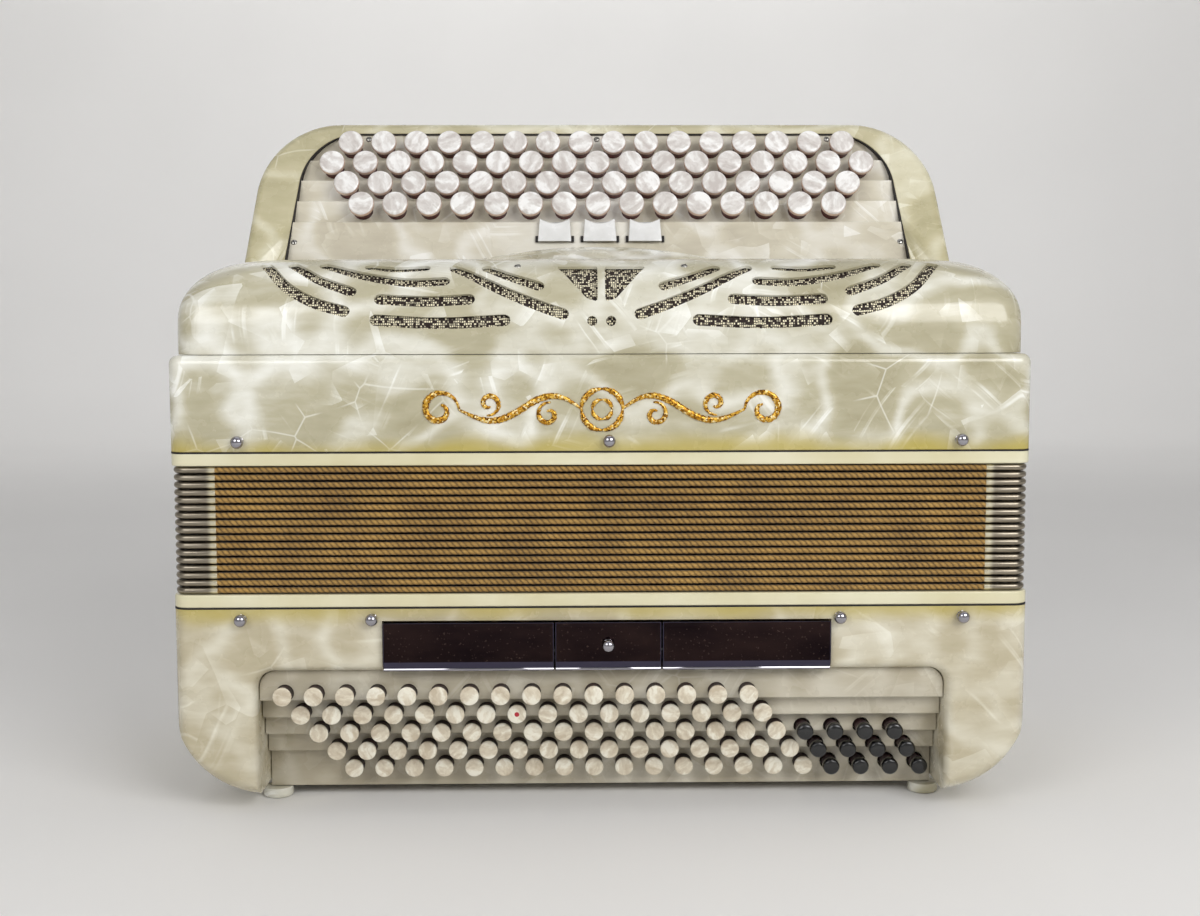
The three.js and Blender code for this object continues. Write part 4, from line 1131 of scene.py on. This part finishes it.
# ---- Treble button board and buttons ----
TREBLE_PITCH = 19.5
TREBLE_ROWS = (16, 17, 16, 15)
TREBLE_DROP, TREBLE_STEP = 12.85, 10.24
TREBLE_TOP_HEAD = (150.0, 359.8)  # depth and height of the top row's button faces
TREBLE_PROUD = 11.0
TREAD_ABOVE = 6.2
TILT = math.radians(20)
TREBLE_OUT = Vector((0, -math.cos(TILT), math.sin(TILT)))
TREAD_LENGTH = TREBLE_DROP * math.cos(TILT) + TREBLE_STEP * math.sin(TILT)


def treble_head(row):
    return TREBLE_TOP_HEAD[0] - TREBLE_STEP * row, TREBLE_TOP_HEAD[1] - TREBLE_DROP * row


def treble_centres(row):
    depth, z = treble_head(row)
    count = TREBLE_ROWS[row]
    return [Vector(((i - (count - 1) / 2) * TREBLE_PITCH * MM, behind(depth), z * MM)) for i in range(count)]


def on_tread(row, up):
    """(depth, height) of a point on a tread, this far above the button's axis."""
    depth, z = treble_head(row)
    return (depth + TREBLE_PROUD * math.cos(TILT) + up * math.sin(TILT),
            z - TREBLE_PROUD * math.sin(TILT) + up * math.cos(TILT))


def eased(outline, size):
    """The outline with every corner between longer edges cut back by size millimetres."""
    points = []
    for i, here in enumerate(outline):
        here = Vector(here)
        before, after = Vector(outline[i - 1]) - here, Vector(outline[(i + 1) % len(outline)]) - here
        if min(before.length, after.length) > 4 * size:
            points += [tuple(here + before.normalized() * size), tuple(here + after.normalized() * size)]
        else:
            points.append(tuple(here))
    return points


def make_treble_board():
    steps = []
    for row in range(len(TREBLE_ROWS)):
        if row:
            steps.append(on_tread(row, TREAD_ABOVE))
        steps.append(on_tread(row, TREAD_ABOVE - TREAD_LENGTH))
    top_depth, top_z = on_tread(0, 0)
    rise = (BOARD_TOP - top_z) / math.cos(TILT)
    upper = on_tread(0, rise)
    apron = on_tread(len(TREBLE_ROWS), TREAD_ABOVE)
    back_depth, back_z = on_tread(len(TREBLE_ROWS) - 1, 0)
    outline = [upper, *steps, apron, APRON_FOOT, (APRON_FOOT[0] + 4, APRON_FOOT[1]),
               (back_depth + 8, back_z - 8), (upper[0] + 8, upper[1])]
    board = add_piece("treble_board", prism(eased(outline, 0.35), "x", -200, 200), "treble_side", "pearl_celluloid", PEARL_BOARD)
    outline = arch(BOARD_HALF, BOARD_HALF, BOARD_ROUND, BOARD_TOP, APRON_FOOT[1] - 0.5, lean=3.0)
    cut(board, loose(prism(outline, "y", 60, 195)), "INTERSECT")
    holes = bmesh.new()
    for row in range(len(TREBLE_ROWS)):
        for centre in treble_centres(row):
            turned(holes, [(5.8, -30.0), (5.8, 6.0)], centre, TREBLE_OUT, 20)
    bmesh.ops.recalc_face_normals(holes, faces=holes.faces)
    cut(board, loose(holes))
    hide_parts("treble_button_board")


def add_buttons(name, node, slot, centres, axis, profile, rings, materials, segments, turn_seed):
    """A row of turned buttons. Each has its own UV turn, so that its bands run its own way."""
    chance = random.Random(turn_seed)
    mesh = bmesh.new()
    layer = mesh.loops.layers.uv.new("UVMap")
    side, other = frame_of(axis)
    for centre in centres:
        angle = chance.uniform(0, math.tau)
        shift = Vector((chance.uniform(0, 50), chance.uniform(0, 50)))
        for face in turned(mesh, profile, centre, axis, segments, rings):
            for corner in face.loops:
                arm = (corner.vert.co - centre) / (profile[1][0] * MM)
                u, v = arm.dot(side), arm.dot(other)
                turned_uv = Vector((u * math.cos(angle) - v * math.sin(angle), u * math.sin(angle) + v * math.cos(angle)))
                corner[layer].uv = turned_uv + shift
    piece = add_piece(name, mesh, NODE_BODY[node], slot, *materials, sharp=40)
    if node:
        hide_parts(node)
    return piece


def make_treble_buttons():
    radius = 7.45
    profile = [(2.5, 0.06), (5.6, 0.0), (6.7, -0.14), (7.2, -0.55), (radius, -1.3), (radius, -2.7), (7.1, -3.1),
               (5.55, -3.1), (5.55, -21.0)]
    rings = [0, 0, 0, 1, 1, 1, 1, 2]
    for row in range(len(TREBLE_ROWS)):
        node = f"treble_button_row_{row + 1}"
        add_buttons(f"treble_buttons_{row + 1}", node, "button_pearl", treble_centres(row), TREBLE_OUT, profile, rings,
                    (NACRE, NACRE_RIM, STEM_RED), 28, 100 + row)


def make_board_gap():
    """A black band in the gap between the board and its casing: painted shade of the gap."""
    mesh = bmesh.new()
    shelves = (board_ring(0.08, lambda z: slope_depth(z) + 0.5), board_ring(0.72, lambda z: slope_depth(z) + 0.5),
               board_ring(0.72, lambda z: slope_depth(z) + 6), board_ring(0.08, lambda z: slope_depth(z) + 6))
    loft(mesh, shelves, loop=True)
    add_piece("board_gap_shade", mesh, "treble_side", "pearl_celluloid", BLACK_LINER_AND_SHADE)


# ---- Bass buttons ----
BASS_PITCH, BASS_STAGGER, BASS_FIRST_X = 15.89, 8.06, -163.5
BASS_TOP_HEAD_Z, BASS_DROP, BASS_STEP, BASS_FIRST_TREAD = 62.2, 11.28, 6.6, 6.0
BASS_WHITE, BASS_BLACK = 16, (0, 0, 4, 4, 4)
BASS_BLACK_START, BASS_BLACK_PITCH = 14.6, 15.6
BASS_WHITE_PROUD, BASS_BLACK_PROUD = 9.0, 12.5
BASS_TREAD_BOTTOMS = (58.2, 47.7, 37.0, 26.3, 5.5)
BASS_OUT = Vector((0, -1, 0))


def bass_centres(row, black):
    first = BASS_FIRST_X + BASS_STAGGER * row
    tread = BASS_FIRST_TREAD + BASS_STEP * row
    z = (BASS_TOP_HEAD_Z - BASS_DROP * row) * MM
    if black:
        start = first + BASS_PITCH * (BASS_WHITE - 1) + BASS_BLACK_START
        xs = [start + BASS_BLACK_PITCH * i for i in range(BASS_BLACK[row])]
        return [Vector((x * MM, behind(tread - BASS_BLACK_PROUD), z)) for x in xs]
    return [Vector(((first + BASS_PITCH * i) * MM, behind(tread - BASS_WHITE_PROUD), z)) for i in range(BASS_WHITE)]


def make_bass_board():
    front = [(BASS_FIRST_TREAD, WELL_TOP - 0.3)]
    for row, bottom in enumerate(BASS_TREAD_BOTTOMS):
        front.append((BASS_FIRST_TREAD + BASS_STEP * row, bottom))
        if row < len(BASS_TREAD_BOTTOMS) - 1:
            front.append((BASS_FIRST_TREAD + BASS_STEP * (row + 1), bottom))
    low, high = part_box("bass_button_board")
    last = BASS_FIRST_TREAD + BASS_STEP * (len(BASS_TREAD_BOTTOMS) - 1) + 4
    back = (high.y - FRONT) / MM
    lip_top = 8.7
    outline = front + [(back, BASS_TREAD_BOTTOMS[-1]), (back, lip_top), (last, lip_top), (last, 26.6),
                       (BASS_FIRST_TREAD + 5, WELL_TOP - 0.3)]
    board = add_piece("bass_board", prism(outline, "x", -WELL_HALF + 0.3, WELL_HALF - 0.3), "bass_side",
                      "pearl_celluloid", PEARL_WELL)
    half, top, radius = WELL_HALF - 0.3, WELL_TOP - 0.3, WELL_ROUND
    arc = [(half - radius + radius * math.cos(math.pi / 2 * i / 8), top - radius + radius * math.sin(math.pi / 2 * i / 8))
           for i in range(9)]
    cut(board, loose(prism([(-half, 0), (half, 0), *arc, *((-x, z) for x, z in reversed(arc))], "y", -5, 70)),
        "INTERSECT")
    holes = bmesh.new()
    for row in range(len(BASS_TREAD_BOTTOMS)):
        for centre in bass_centres(row, False) + bass_centres(row, True):
            turned(holes, [(4.6, -40.0), (4.6, 2.0)], centre, BASS_OUT, 18)
    bmesh.ops.recalc_face_normals(holes, faces=holes.faces)
    soften(board, 0.5 * MM, segments=2)
    cut(board, loose(holes))
    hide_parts("bass_button_board")


def make_bass_buttons():
    white = [(1.6, 0.05), (4.2, 0.0), (4.65, -0.12), (4.88, -0.4), (4.9, -1.1), (4.7, -1.3), (4.3, -1.3), (4.3, -20.0)]
    black = [(1.5, 0.2), (3.0, 0.05), (3.9, -0.35), (4.35, -1.1), (4.4, -4.0), (3.9, -4.8), (3.5, -5.0), (3.5, -7.5),
             (3.8, -7.6), (3.8, -9.4), (3.5, -9.5), (3.5, -24.0)]
    for row in range(len(BASS_TREAD_BOTTOMS)):
        node = f"bass_button_row_{'abcde'[row]}"
        add_buttons(f"bass_buttons_{'abcde'[row]}", node, "button_pearl", bass_centres(row, False), BASS_OUT, white,
                    [0, 0, 0, 1, 1, 1, 2], (NACRE_BASS, NACRE_BASS, STEM_DARK), 20, 200 + row)
        if BASS_BLACK[row]:
            blacks = bmesh.new()
            for centre in bass_centres(row, True):
                turned(blacks, black, centre, BASS_OUT, 20, [0] * 6 + [1] * 5)
            add_piece(f"bass_black_buttons_{'abcde'[row]}", blacks, NODE_BODY[node], "button_black", BUTTON_BLACK,
                      STEM_DARK, sharp=40)
    marked = bass_centres(1, False)[7]
    mark = bmesh.new()
    turned(mark, [(1.2, 0.12), (1.3, 0.02), (1.3, -0.3)], marked, BASS_OUT, 14)
    add_piece("bass_button_mark", mark, NODE_BODY["bass_button_row_b"], "button_pearl", MARK_RED)


# ---- Registers ----
def make_register_tabs():
    """Glossy tabs with a hollow upper edge, each leaning back with the apron, between two slots drawn as black blocks
    of painted shade.
    """
    columns, rows = 16, 14
    thickness = 2.8 * MM
    for tab in (1, 2, 3):
        node = f"treble_register_tab_{tab}"
        low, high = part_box(node)
        middle, half = (low.x + high.x) / 2, (high.x - low.x) / 2
        lean = high.y - low.y - 3.2 * MM
        rings = []
        for r in range(rows + 1):
            v = r / rows
            front, back = [], []
            for c in range(columns + 1):
                u = 2 * c / columns - 1
                x = middle + half * (1 - 0.1 * v) * u
                scoop = 2.6 * MM * (1 - u * u) * max(0.0, (v - 0.5) / 0.5)
                z = low.z + (high.z - low.z) * v - scoop
                y = low.y + lean * v + 0.5 * MM * u**4
                bulge = 0.7 * MM * (1 - abs(v - 0.62) / 0.62)
                front.append(Vector((x, y - bulge + 0.5 * MM, z)))
                back.append(Vector((x, low.y + lean * v + thickness, z)))
            rings.append(front + back[::-1])
        mesh = bmesh.new()
        loft(mesh, rings)
        bmesh.ops.recalc_face_normals(mesh, faces=mesh.faces)
        piece = add_piece(f"register_tab_{tab}", mesh, NODE_BODY[node], "register_white", TAB_WHITE)
        soften(piece, 0.4 * MM, angle=50, segments=2)
        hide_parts(node)
        # the slots are black blocks: painted shade of the openings
        slots = bmesh.new()
        for side in (-1, 1):
            x = middle + side * (half + 0.75 * MM)
            depth = 1.2 * MM
            ring = [Vector((x + a * 0.75 * MM, high.y - lean - 0.6 * MM + b * depth, low.z - 0.4 * MM))
                    for a, b in ((-1, 0), (1, 0), (1, 1), (-1, 1))]
            rise = Vector((0, lean * 0.26, 3.6 * MM))
            loft(slots, [ring, [p + rise for p in ring]])
        add_piece(f"register_slot_{tab}", slots, "treble_side", "felt", BLACK_LINER_AND_SHADE)


def make_register_plates():
    """Chrome plates: a flat face with a turned-under lower lip and fine bevelled ends."""
    for part in ("left", "centre", "right"):
        node = f"bass_register_{part}"
        low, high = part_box(node)
        face, back = low.y, low.y + 2.1 * MM
        top, foot = high.z, low.z
        profile = [(back, top), (face + 0.15 * MM, top), (face, top - 0.15 * MM),
                   (face, foot + 4.9 * MM), (face + 0.1 * MM, foot + 4.5 * MM), (face + 0.45 * MM, foot + 3.6 * MM),
                   (face + 0.8 * MM, foot + 2.7 * MM), (face + 1.2 * MM, foot + 1.8 * MM),
                   (face + 1.5 * MM, foot + 1.35 * MM), (face + 1.3 * MM, foot + 0.9 * MM),
                   (face + 1.35 * MM, foot + 0.3 * MM), (face + 1.7 * MM, foot), (back + 0.8 * MM, foot),
                   (back + 0.8 * MM, foot + 2.0 * MM)]
        mesh = bmesh.new()
        rings = []
        for x, draw in ((low.x, 0.5 * MM), (low.x + 0.1 * MM, 0.15 * MM), (low.x + 0.4 * MM, 0.0),
                        (high.x - 0.4 * MM, 0.0), (high.x - 0.1 * MM, 0.15 * MM), (high.x, 0.5 * MM)):
            rings.append([Vector((x, y + (draw if y < back - 0.5 * MM else 0), z)) for y, z in profile])
        loft(mesh, rings)
        bmesh.ops.recalc_face_normals(mesh, faces=mesh.faces)
        for item in mesh.faces:
            # the flat front face: chrome with the painted dark reflection
            if item.normal.y < -0.995 and item.calc_area() > 1e-4:
                item.material_index = 1
            # the top, the ends and the upper lip: dimmed chrome with a painted dark reflection
            elif item.calc_center_median().z > foot + 1.4 * MM:
                item.material_index = 2
        piece = add_piece(node.replace("register", "plate"), mesh, NODE_BODY[node], "chrome", CHROME, DARK_REFLECTION_CHROME,
                          DARK_REFLECTION_EDGE, sharp=25)
        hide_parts(node)


# ---- Small metal pieces ----
BALL = [(2.9, -0.2), (2.9, 0.4), (2.2, 0.7), (2.3, 1.0), (2.9, 1.6), (3.25, 2.6), (3.2, 3.5), (2.8, 4.4), (2.0, 5.1),
        (1.0, 5.5), (0.2, 5.6)]
SCREW = [(1.7, -0.4), (1.75, 0.1), (1.5, 0.42), (0.9, 0.62), (0.2, 0.68)]


def make_pins():
    """Round-headed bellows pins on the front and the back, and the knob of the middle register plate."""
    rows = (
        ("treble", TREBLE_BOTTOM + 5.6 * MM, (-183.3, 3.6, 182.0)),
        ("bass", BASS_TOP - 5.7 * MM, (-183.7, -117.4, 121.4, 184.3)),
    )
    for side, z, places in rows:
        for face, y, out in (("front", FRONT, Vector((0, -1, 0))), ("back", BACK, Vector((0, 1, 0)))):
            mesh = bmesh.new()
            for x in places:
                turned(mesh, BALL, Vector((x * MM, y, z)), out, 20)
            add_piece(f"{side}_pins_{face}", mesh, f"{side}_side", "chrome", CHROME, sharp=50)
    low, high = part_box("bass_register_centre")
    mesh = bmesh.new()
    turned(mesh, BALL, Vector(((low.x + high.x) / 2, low.y, (low.z + high.z) / 2 + 1 * MM)), Vector((0, -1, 0)), 20)
    add_piece("plate_knob", mesh, "bass_side", "chrome", CHROME, sharp=50)


def make_screws(top):
    """Slotted screws: a piece of heads and a piece of slots, black blocks of painted shade, for each side of the
    instrument.
    """
    apron_top = on_tread(len(TREBLE_ROWS), TREAD_ABOVE)
    rise, run = apron_top[1] - APRON_FOOT[1], apron_top[0] - APRON_FOOT[0]
    share = 0.49
    apron = (APRON_FOOT[0] + run * share, APRON_FOOT[1] + rise * share)
    slope = Vector((0, -rise, run)).normalized()
    head = on_tread(0, 6.8)
    tilt, bend = math.radians(62), GRILLE["front_round"] * MM
    crown = Vector((0, -math.cos(tilt), math.sin(tilt)))
    centre = Vector((0, behind(GRILLE["inset"] + GRILLE["front_round"]), top - bend)) + crown * bend
    treble = [(Vector((x * MM, behind(head[0]), head[1] * MM)), TREBLE_OUT) for x in (-137.0, 0.0, 139.0)]
    treble += [(Vector((x * MM, behind(apron[0]), apron[1] * MM)), slope) for x in (-174.5, 174.5)]
    treble += [(centre + Vector((x * MM, 0, 0)), crown) for x in (-43.0, 43.0)]
    backward = Vector((0, 1, 0))
    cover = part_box("bass_end_cover")[1]
    bass = [(Vector((x * MM, cover.y + 0.5 * MM, cover.z + 9 * MM)), backward) for x in (-150.0, -50.0, 50.0, 150.0)]
    for side in ("left", "right"):
        low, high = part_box(f"strap_bracket_{side}")
        bass += [(Vector((x, high.y, (low.z + high.z) / 2)), backward) for x in (low.x + 2.2 * MM, high.x - 2.2 * MM)]
    chance = random.Random(31)
    for side, places in (("treble", treble), ("bass", bass)):
        heads, slots = bmesh.new(), bmesh.new()
        for place, out in places:
            turned(heads, SCREW, place, out, 14)
            first, second = frame_of(out)
            angle = chance.uniform(0, 3)
            along = math.cos(angle) * first + math.sin(angle) * second
            across = out.cross(along)
            # each slot is a thin black block on the head: painted shade of the groove
            ring = [place + (along * a * 1.25 + across * b * 0.22 + out * 0.45) * MM for a, b in
                    ((-1, -1), (1, -1), (1, 1), (-1, 1))]
            loft(slots, [ring, [p + out * 0.27 * MM for p in ring]])
        add_piece(f"{side}_screws", heads, f"{side}_side", "steel", STEEL)
        add_piece(f"{side}_screw_slots", slots, f"{side}_side", "steel", BLACK_LINER_AND_SHADE)


# ---- Ornament on the treble front ----
def stroke(mesh, line, width, chance):
    """A raised, grainy line of glitter on the front face. line holds (X, Z) in millimetres from the ornament's middle."""
    spots = [Vector((x, 0, z)) for x, z in line]
    rings = []
    count = len(spots)
    for i, spot in enumerate(spots):
        ahead = (spots[min(i + 1, count - 1)] - spots[max(i - 1, 0)]).normalized()
        across = ahead.cross(Vector((0, 1, 0)))
        taper = min(1.0, 0.35 + 2.2 * min(i, count - 1 - i) / count)
        ring = []
        for k in range(10):
            angle = math.tau * k / 10
            grain = 1 + chance.uniform(-0.16, 0.16)
            reach = width / 2 * taper * grain
            ring.append(spot + across * (reach * math.cos(angle)) + Vector((0, -0.62 * reach * math.sin(angle), 0)))
        rings.append(ring)
    middle = Vector((0, FRONT - 0.25 * MM, (TREBLE_BOTTOM + 21.5 * MM)))
    loft(mesh, [[middle + p * MM for p in ring] for ring in rings])


def scroll(cx, cz, radius, start, sweep, shrink, steps=60):
    """A spiral about (cx, cz): start and sweep in degrees, and the share of the radius left at its end."""
    line = []
    for i in range(steps + 1):
        t = i / steps
        angle = math.radians(start + sweep * t)
        reach = radius * (1 - (1 - shrink) * t)
        line.append((cx + reach * math.cos(angle), cz + reach * math.sin(angle)))
    return line


def make_ornament():
    chance = random.Random(11)
    mesh = bmesh.new()
    wave = [(10 + 62 * i / 90, 7.5 * math.sin(math.tau * 1.0 * i / 90) * (1 - 0.35 * i / 90)) for i in range(91)]
    strokes = [
        (wave, 3.4),
        (scroll(82, 0, 10, 180, -430, 0.25), 3.2),
        (scroll(27, -2.5, 6.2, 100, -400, 0.25), 2.6),
        (scroll(57, 3.0, 6.0, 280, -400, 0.25), 2.6),
        (scroll(0, 0, 10.5, 0, 90, 0.98, 30), 3.0),
        (scroll(0, 0, 10.5, -90, 90, 0.98, 30), 3.0),
        (scroll(0, 0, 5.0, 0, 90, 0.98, 24), 2.2),
        (scroll(0, 0, 5.0, -90, 90, 0.98, 24), 2.2),
    ]
    for line, width in strokes:
        for side in (-1, 1):
            stroke(mesh, [(side * x, z) for x, z in line], width, chance)
    add_piece("front_ornament", mesh, "treble_side", "gold_glitter", GLITTER, sharp=180)


# ---- Feet, strap, wheel, air button ----
def make_feet():
    for end in ("front", "rear"):
        for side in ("left", "right"):
            node = f"foot_{end}_{side}"
            low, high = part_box(node)
            centre = Vector(((low.x + high.x) / 2, (low.y + high.y) / 2, low.z))
            height = (BASS_TREAD_BOTTOMS[-1] - 0.3) if end == "front" else (high.z - low.z) / MM
            profile = [(6.4, 0.0), (7.4, 0.35), (7.9, 1.1), (8.0, 2.2), (7.7, height - 0.6), (7.5, height)]
            mesh = bmesh.new()
            turned(mesh, profile, centre, Vector((0, 0, 1)), 32)
            piece = add_piece(f"{node}_turned", mesh, "bass_side", "cream_celluloid", PEARL_MAIN, sharp=50)
            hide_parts(node)


def make_strap():
    """The leather hand strap: a crowned band with turned-up ends and a stitched line along each edge."""
    low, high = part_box("bass_strap")
    thickness = 2.8 * MM
    bend = 9 * MM
    half = high.x
    line = [(Vector((-half, 0, high.z)), Vector((-1, 0, 0))), (Vector((-half, 0, low.z + bend)), Vector((-1, 0, 0)))]
    for i in range(1, 8):
        angle = math.radians(180 + 90 * i / 7)
        out = Vector((math.cos(angle), 0, math.sin(angle)))
        line.append((Vector((-half + bend, 0, low.z + bend)) + out * bend, out))
    middle = [(Vector((x * (half - bend) / 20, 0, low.z)), Vector((0, 0, -1))) for x in range(-19, 20)]
    line += middle + [(Vector((-p.x, 0, p.z)), Vector((-o.x, 0, o.z))) for p, o in reversed(line)]
    mesh = bmesh.new()
    rings = []
    across = 14
    for point, out in line:
        ring = []
        for face in (0, 1):
            order = range(across + 1) if face == 0 else range(across, -1, -1)
            for k in order:
                v = 2 * k / across - 1
                pad = 1.0 * MM * (1 - v**4) if face else 0.0
                edge = 0.7 * MM * abs(v) ** 12
                depth = edge if face == 0 else thickness - 1.0 * MM + pad - edge
                y = low.y + (high.y - low.y) * k / across
                ring.append(Vector((point.x, y, point.z)) - out * depth)
        rings.append(ring)
    loft(mesh, rings)
    piece = add_piece("hand_strap", mesh, "bass_side", "leather", LEATHER, sharp=50)
    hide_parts("bass_strap")
    stitches = bmesh.new()
    for y in (low.y + 4 * MM, high.y - 4 * MM):
        for i in range(-34, 35):
            x = i * 4.4 * MM
            rings = []
            for end, size in ((-1.5, 0.15), (-1.1, 0.42), (1.1, 0.42), (1.5, 0.15)):
                rings.append([Vector((x + end * MM, y + size * MM * math.cos(a), low.z - 0.05 * MM + size * MM * math.sin(a)))
                              for a in (math.tau * k / 6 for k in range(6))])
            loft(stitches, rings)
    add_piece("strap_stitches", stitches, "bass_side", "leather", THREAD)


def make_wheel():
    low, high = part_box("strap_adjuster_wheel")
    centre = (low + high) / 2
    radius = (high.z - low.z) / 2
    teeth = 44
    mesh = bmesh.new()
    rings = []
    for x, share in ((low.x, 0.9), (low.x + 0.8 * MM, 1.0), (high.x - 0.8 * MM, 1.0), (high.x, 0.9)):
        ring = []
        for i in range(teeth * 4):
            angle = math.tau * i / (teeth * 4)
            reach = radius * share * (1 - 0.045 * (i % 4 in (2, 3)))
            ring.append(Vector((x, centre.y + reach * math.cos(angle), centre.z + reach * math.sin(angle))))
        rings.append(ring)
    loft(mesh, rings)
    piece = add_piece("adjuster_wheel", mesh, NODE_BODY["strap_adjuster_wheel"], "steel", STEEL, sharp=30)
    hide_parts("strap_adjuster_wheel")


def make_air_button():
    low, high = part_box("air_button")
    centre = Vector(((low.x + high.x) / 2, high.y, (low.z + high.z) / 2))
    length = (high.y - low.y) / MM
    mesh = bmesh.new()
    profile = [(2.0, 0.0), (4.6, -0.1), (6.0, -0.5), (6.8, -1.4), (7.0, -2.4), (7.0, -length)]
    turned(mesh, profile, centre, Vector((0, 1, 0)), 28)
    piece = add_piece("air_button_turned", mesh, "air_button", "button_pearl", NACRE_RIM, sharp=50)
    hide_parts("air_button")


def paint_inside():
    """Materials for the CAD nodes that stay as they are."""
    for node, material in (
        ("bass_soundboard", WOOD), ("treble_soundboard", WOOD), ("bass_reed_block", WOOD),
        ("treble_reed_block_1", WOOD), ("treble_reed_block_2", WOOD),
        ("treble_pallets_1", FELT), ("treble_pallets_2", FELT), ("treble_pallets_3", FELT),
    ):
        data = frame["nodes"][node].data
        data.materials.clear()
        data.materials.append(material)


# ---- Room and lights ----
def make_room():
    """A round studio cove: a pale floor that turns up into a wall on every side."""
    s = Shader("backdrop paper")
    tone = s.noise(s.place(), 1.3, 2.0)
    colour = s.ramp(tone, (0.3, srgb(234, 233, 231)), (0.7, srgb(239, 238, 236)))
    paper = s.finish(Base_Color=colour, Roughness=0.85, Specular_IOR_Level=0.2)
    floor, bend, height = 2.5, 1.1, 3.4
    line = [(0.001, 0.0), (floor, 0.0)]
    for i in range(1, 17):
        angle = math.pi / 2 * i / 16
        line.append((floor + bend * math.sin(angle), bend - bend * math.cos(angle)))
    line.append((floor + bend, height))
    turns = [math.tau * i / 72 for i in range(72)]
    mesh = bmesh.new()
    loft(mesh, [[Vector((r * math.cos(a), r * math.sin(a), z)) for a in turns] for r, z in line], caps=False)
    data = bpy.data.meshes.new("backdrop")
    mesh.to_mesh(data)
    mesh.free()
    data.shade_smooth()
    data.materials.append(paper)
    backdrop = bpy.data.objects.new("backdrop", data)
    bpy.context.scene.collection.objects.link(backdrop)


def add_light(name, place, target, width, height, power, colour=(1, 1, 1)):
    data = bpy.data.lights.new(name, "AREA")
    data.shape = "RECTANGLE"
    data.size, data.size_y = width, height
    data.energy = power
    data.color = colour
    light = bpy.data.objects.new(name, data)
    place, target = Vector(place), Vector(target)
    light.location = place
    light.rotation_euler = (target - place).to_track_quat("-Z", "Y").to_euler()
    bpy.context.scene.collection.objects.link(light)


def make_world():
    """A pale ceiling and a dark room in front of the instrument, which its chrome mirrors."""
    world = bpy.data.worlds.new("studio")
    bpy.context.scene.world = world
    world.use_nodes = True
    tree = world.node_tree
    heading = tree.nodes.new("ShaderNodeTexCoord")
    split = tree.nodes.new("ShaderNodeSeparateXYZ")
    tree.links.new(heading.outputs["Generated"], split.inputs[0])
    height = tree.nodes.new("ShaderNodeMapRange")
    height.interpolation_type = "SMOOTHSTEP"
    height.inputs["From Min"].default_value = 0.12
    height.inputs["From Max"].default_value = 0.6
    tree.links.new(split.outputs["Z"], height.inputs["Value"])
    mix = tree.nodes.new("ShaderNodeMix")
    mix.data_type = "RGBA"
    tree.links.new(height.outputs[0], mix.inputs[0])
    mix.inputs[6].default_value = (0.035, 0.028, 0.028, 1)
    mix.inputs[7].default_value = (0.72, 0.72, 0.74, 1)
    tree.links.new(mix.outputs[2], tree.nodes["Background"].inputs["Color"])
    tree.nodes["Background"].inputs["Strength"].default_value = 0.55


def make_lights():
    make_world()
    add_light("key", (0.85, -1.3, 1.0), (0, 0, 0.15), 1.0, 0.8, 15)
    add_light("fill", (-0.8, -1.3, 0.95), (0, 0, 0.15), 0.8, 0.7, 6.8)
    add_light("wall", (0, 2.4, 2.2), (0, 3.6, 1.3), 2.8, 0.4, 20.5)
    add_light("top", (0, 0.0, 2.0), (0, 0, 0), 1.6, 1.0, 3.0)
    bpy.context.scene.view_settings.view_transform = "Standard"


make_camera()
make_room()
make_lights()
make_bass_cabinet()
make_treble_cabinet()
make_keyboard_casing()
make_small_casings()
make_liners()
for number in range(1, FOLDS + 1):
    make_fold(number)
for number in range(FOLDS + 1):
    make_gusset(number)
cover_top = make_grille()
make_hump(cover_top)
make_gauze(cover_top)
make_treble_board()
make_board_gap()
make_treble_buttons()
make_bass_board()
make_bass_buttons()
make_register_tabs()
make_register_plates()
make_pins()
make_screws(cover_top)
make_ornament()
make_feet()
make_strap()
make_wheel()
make_air_button()
paint_inside()
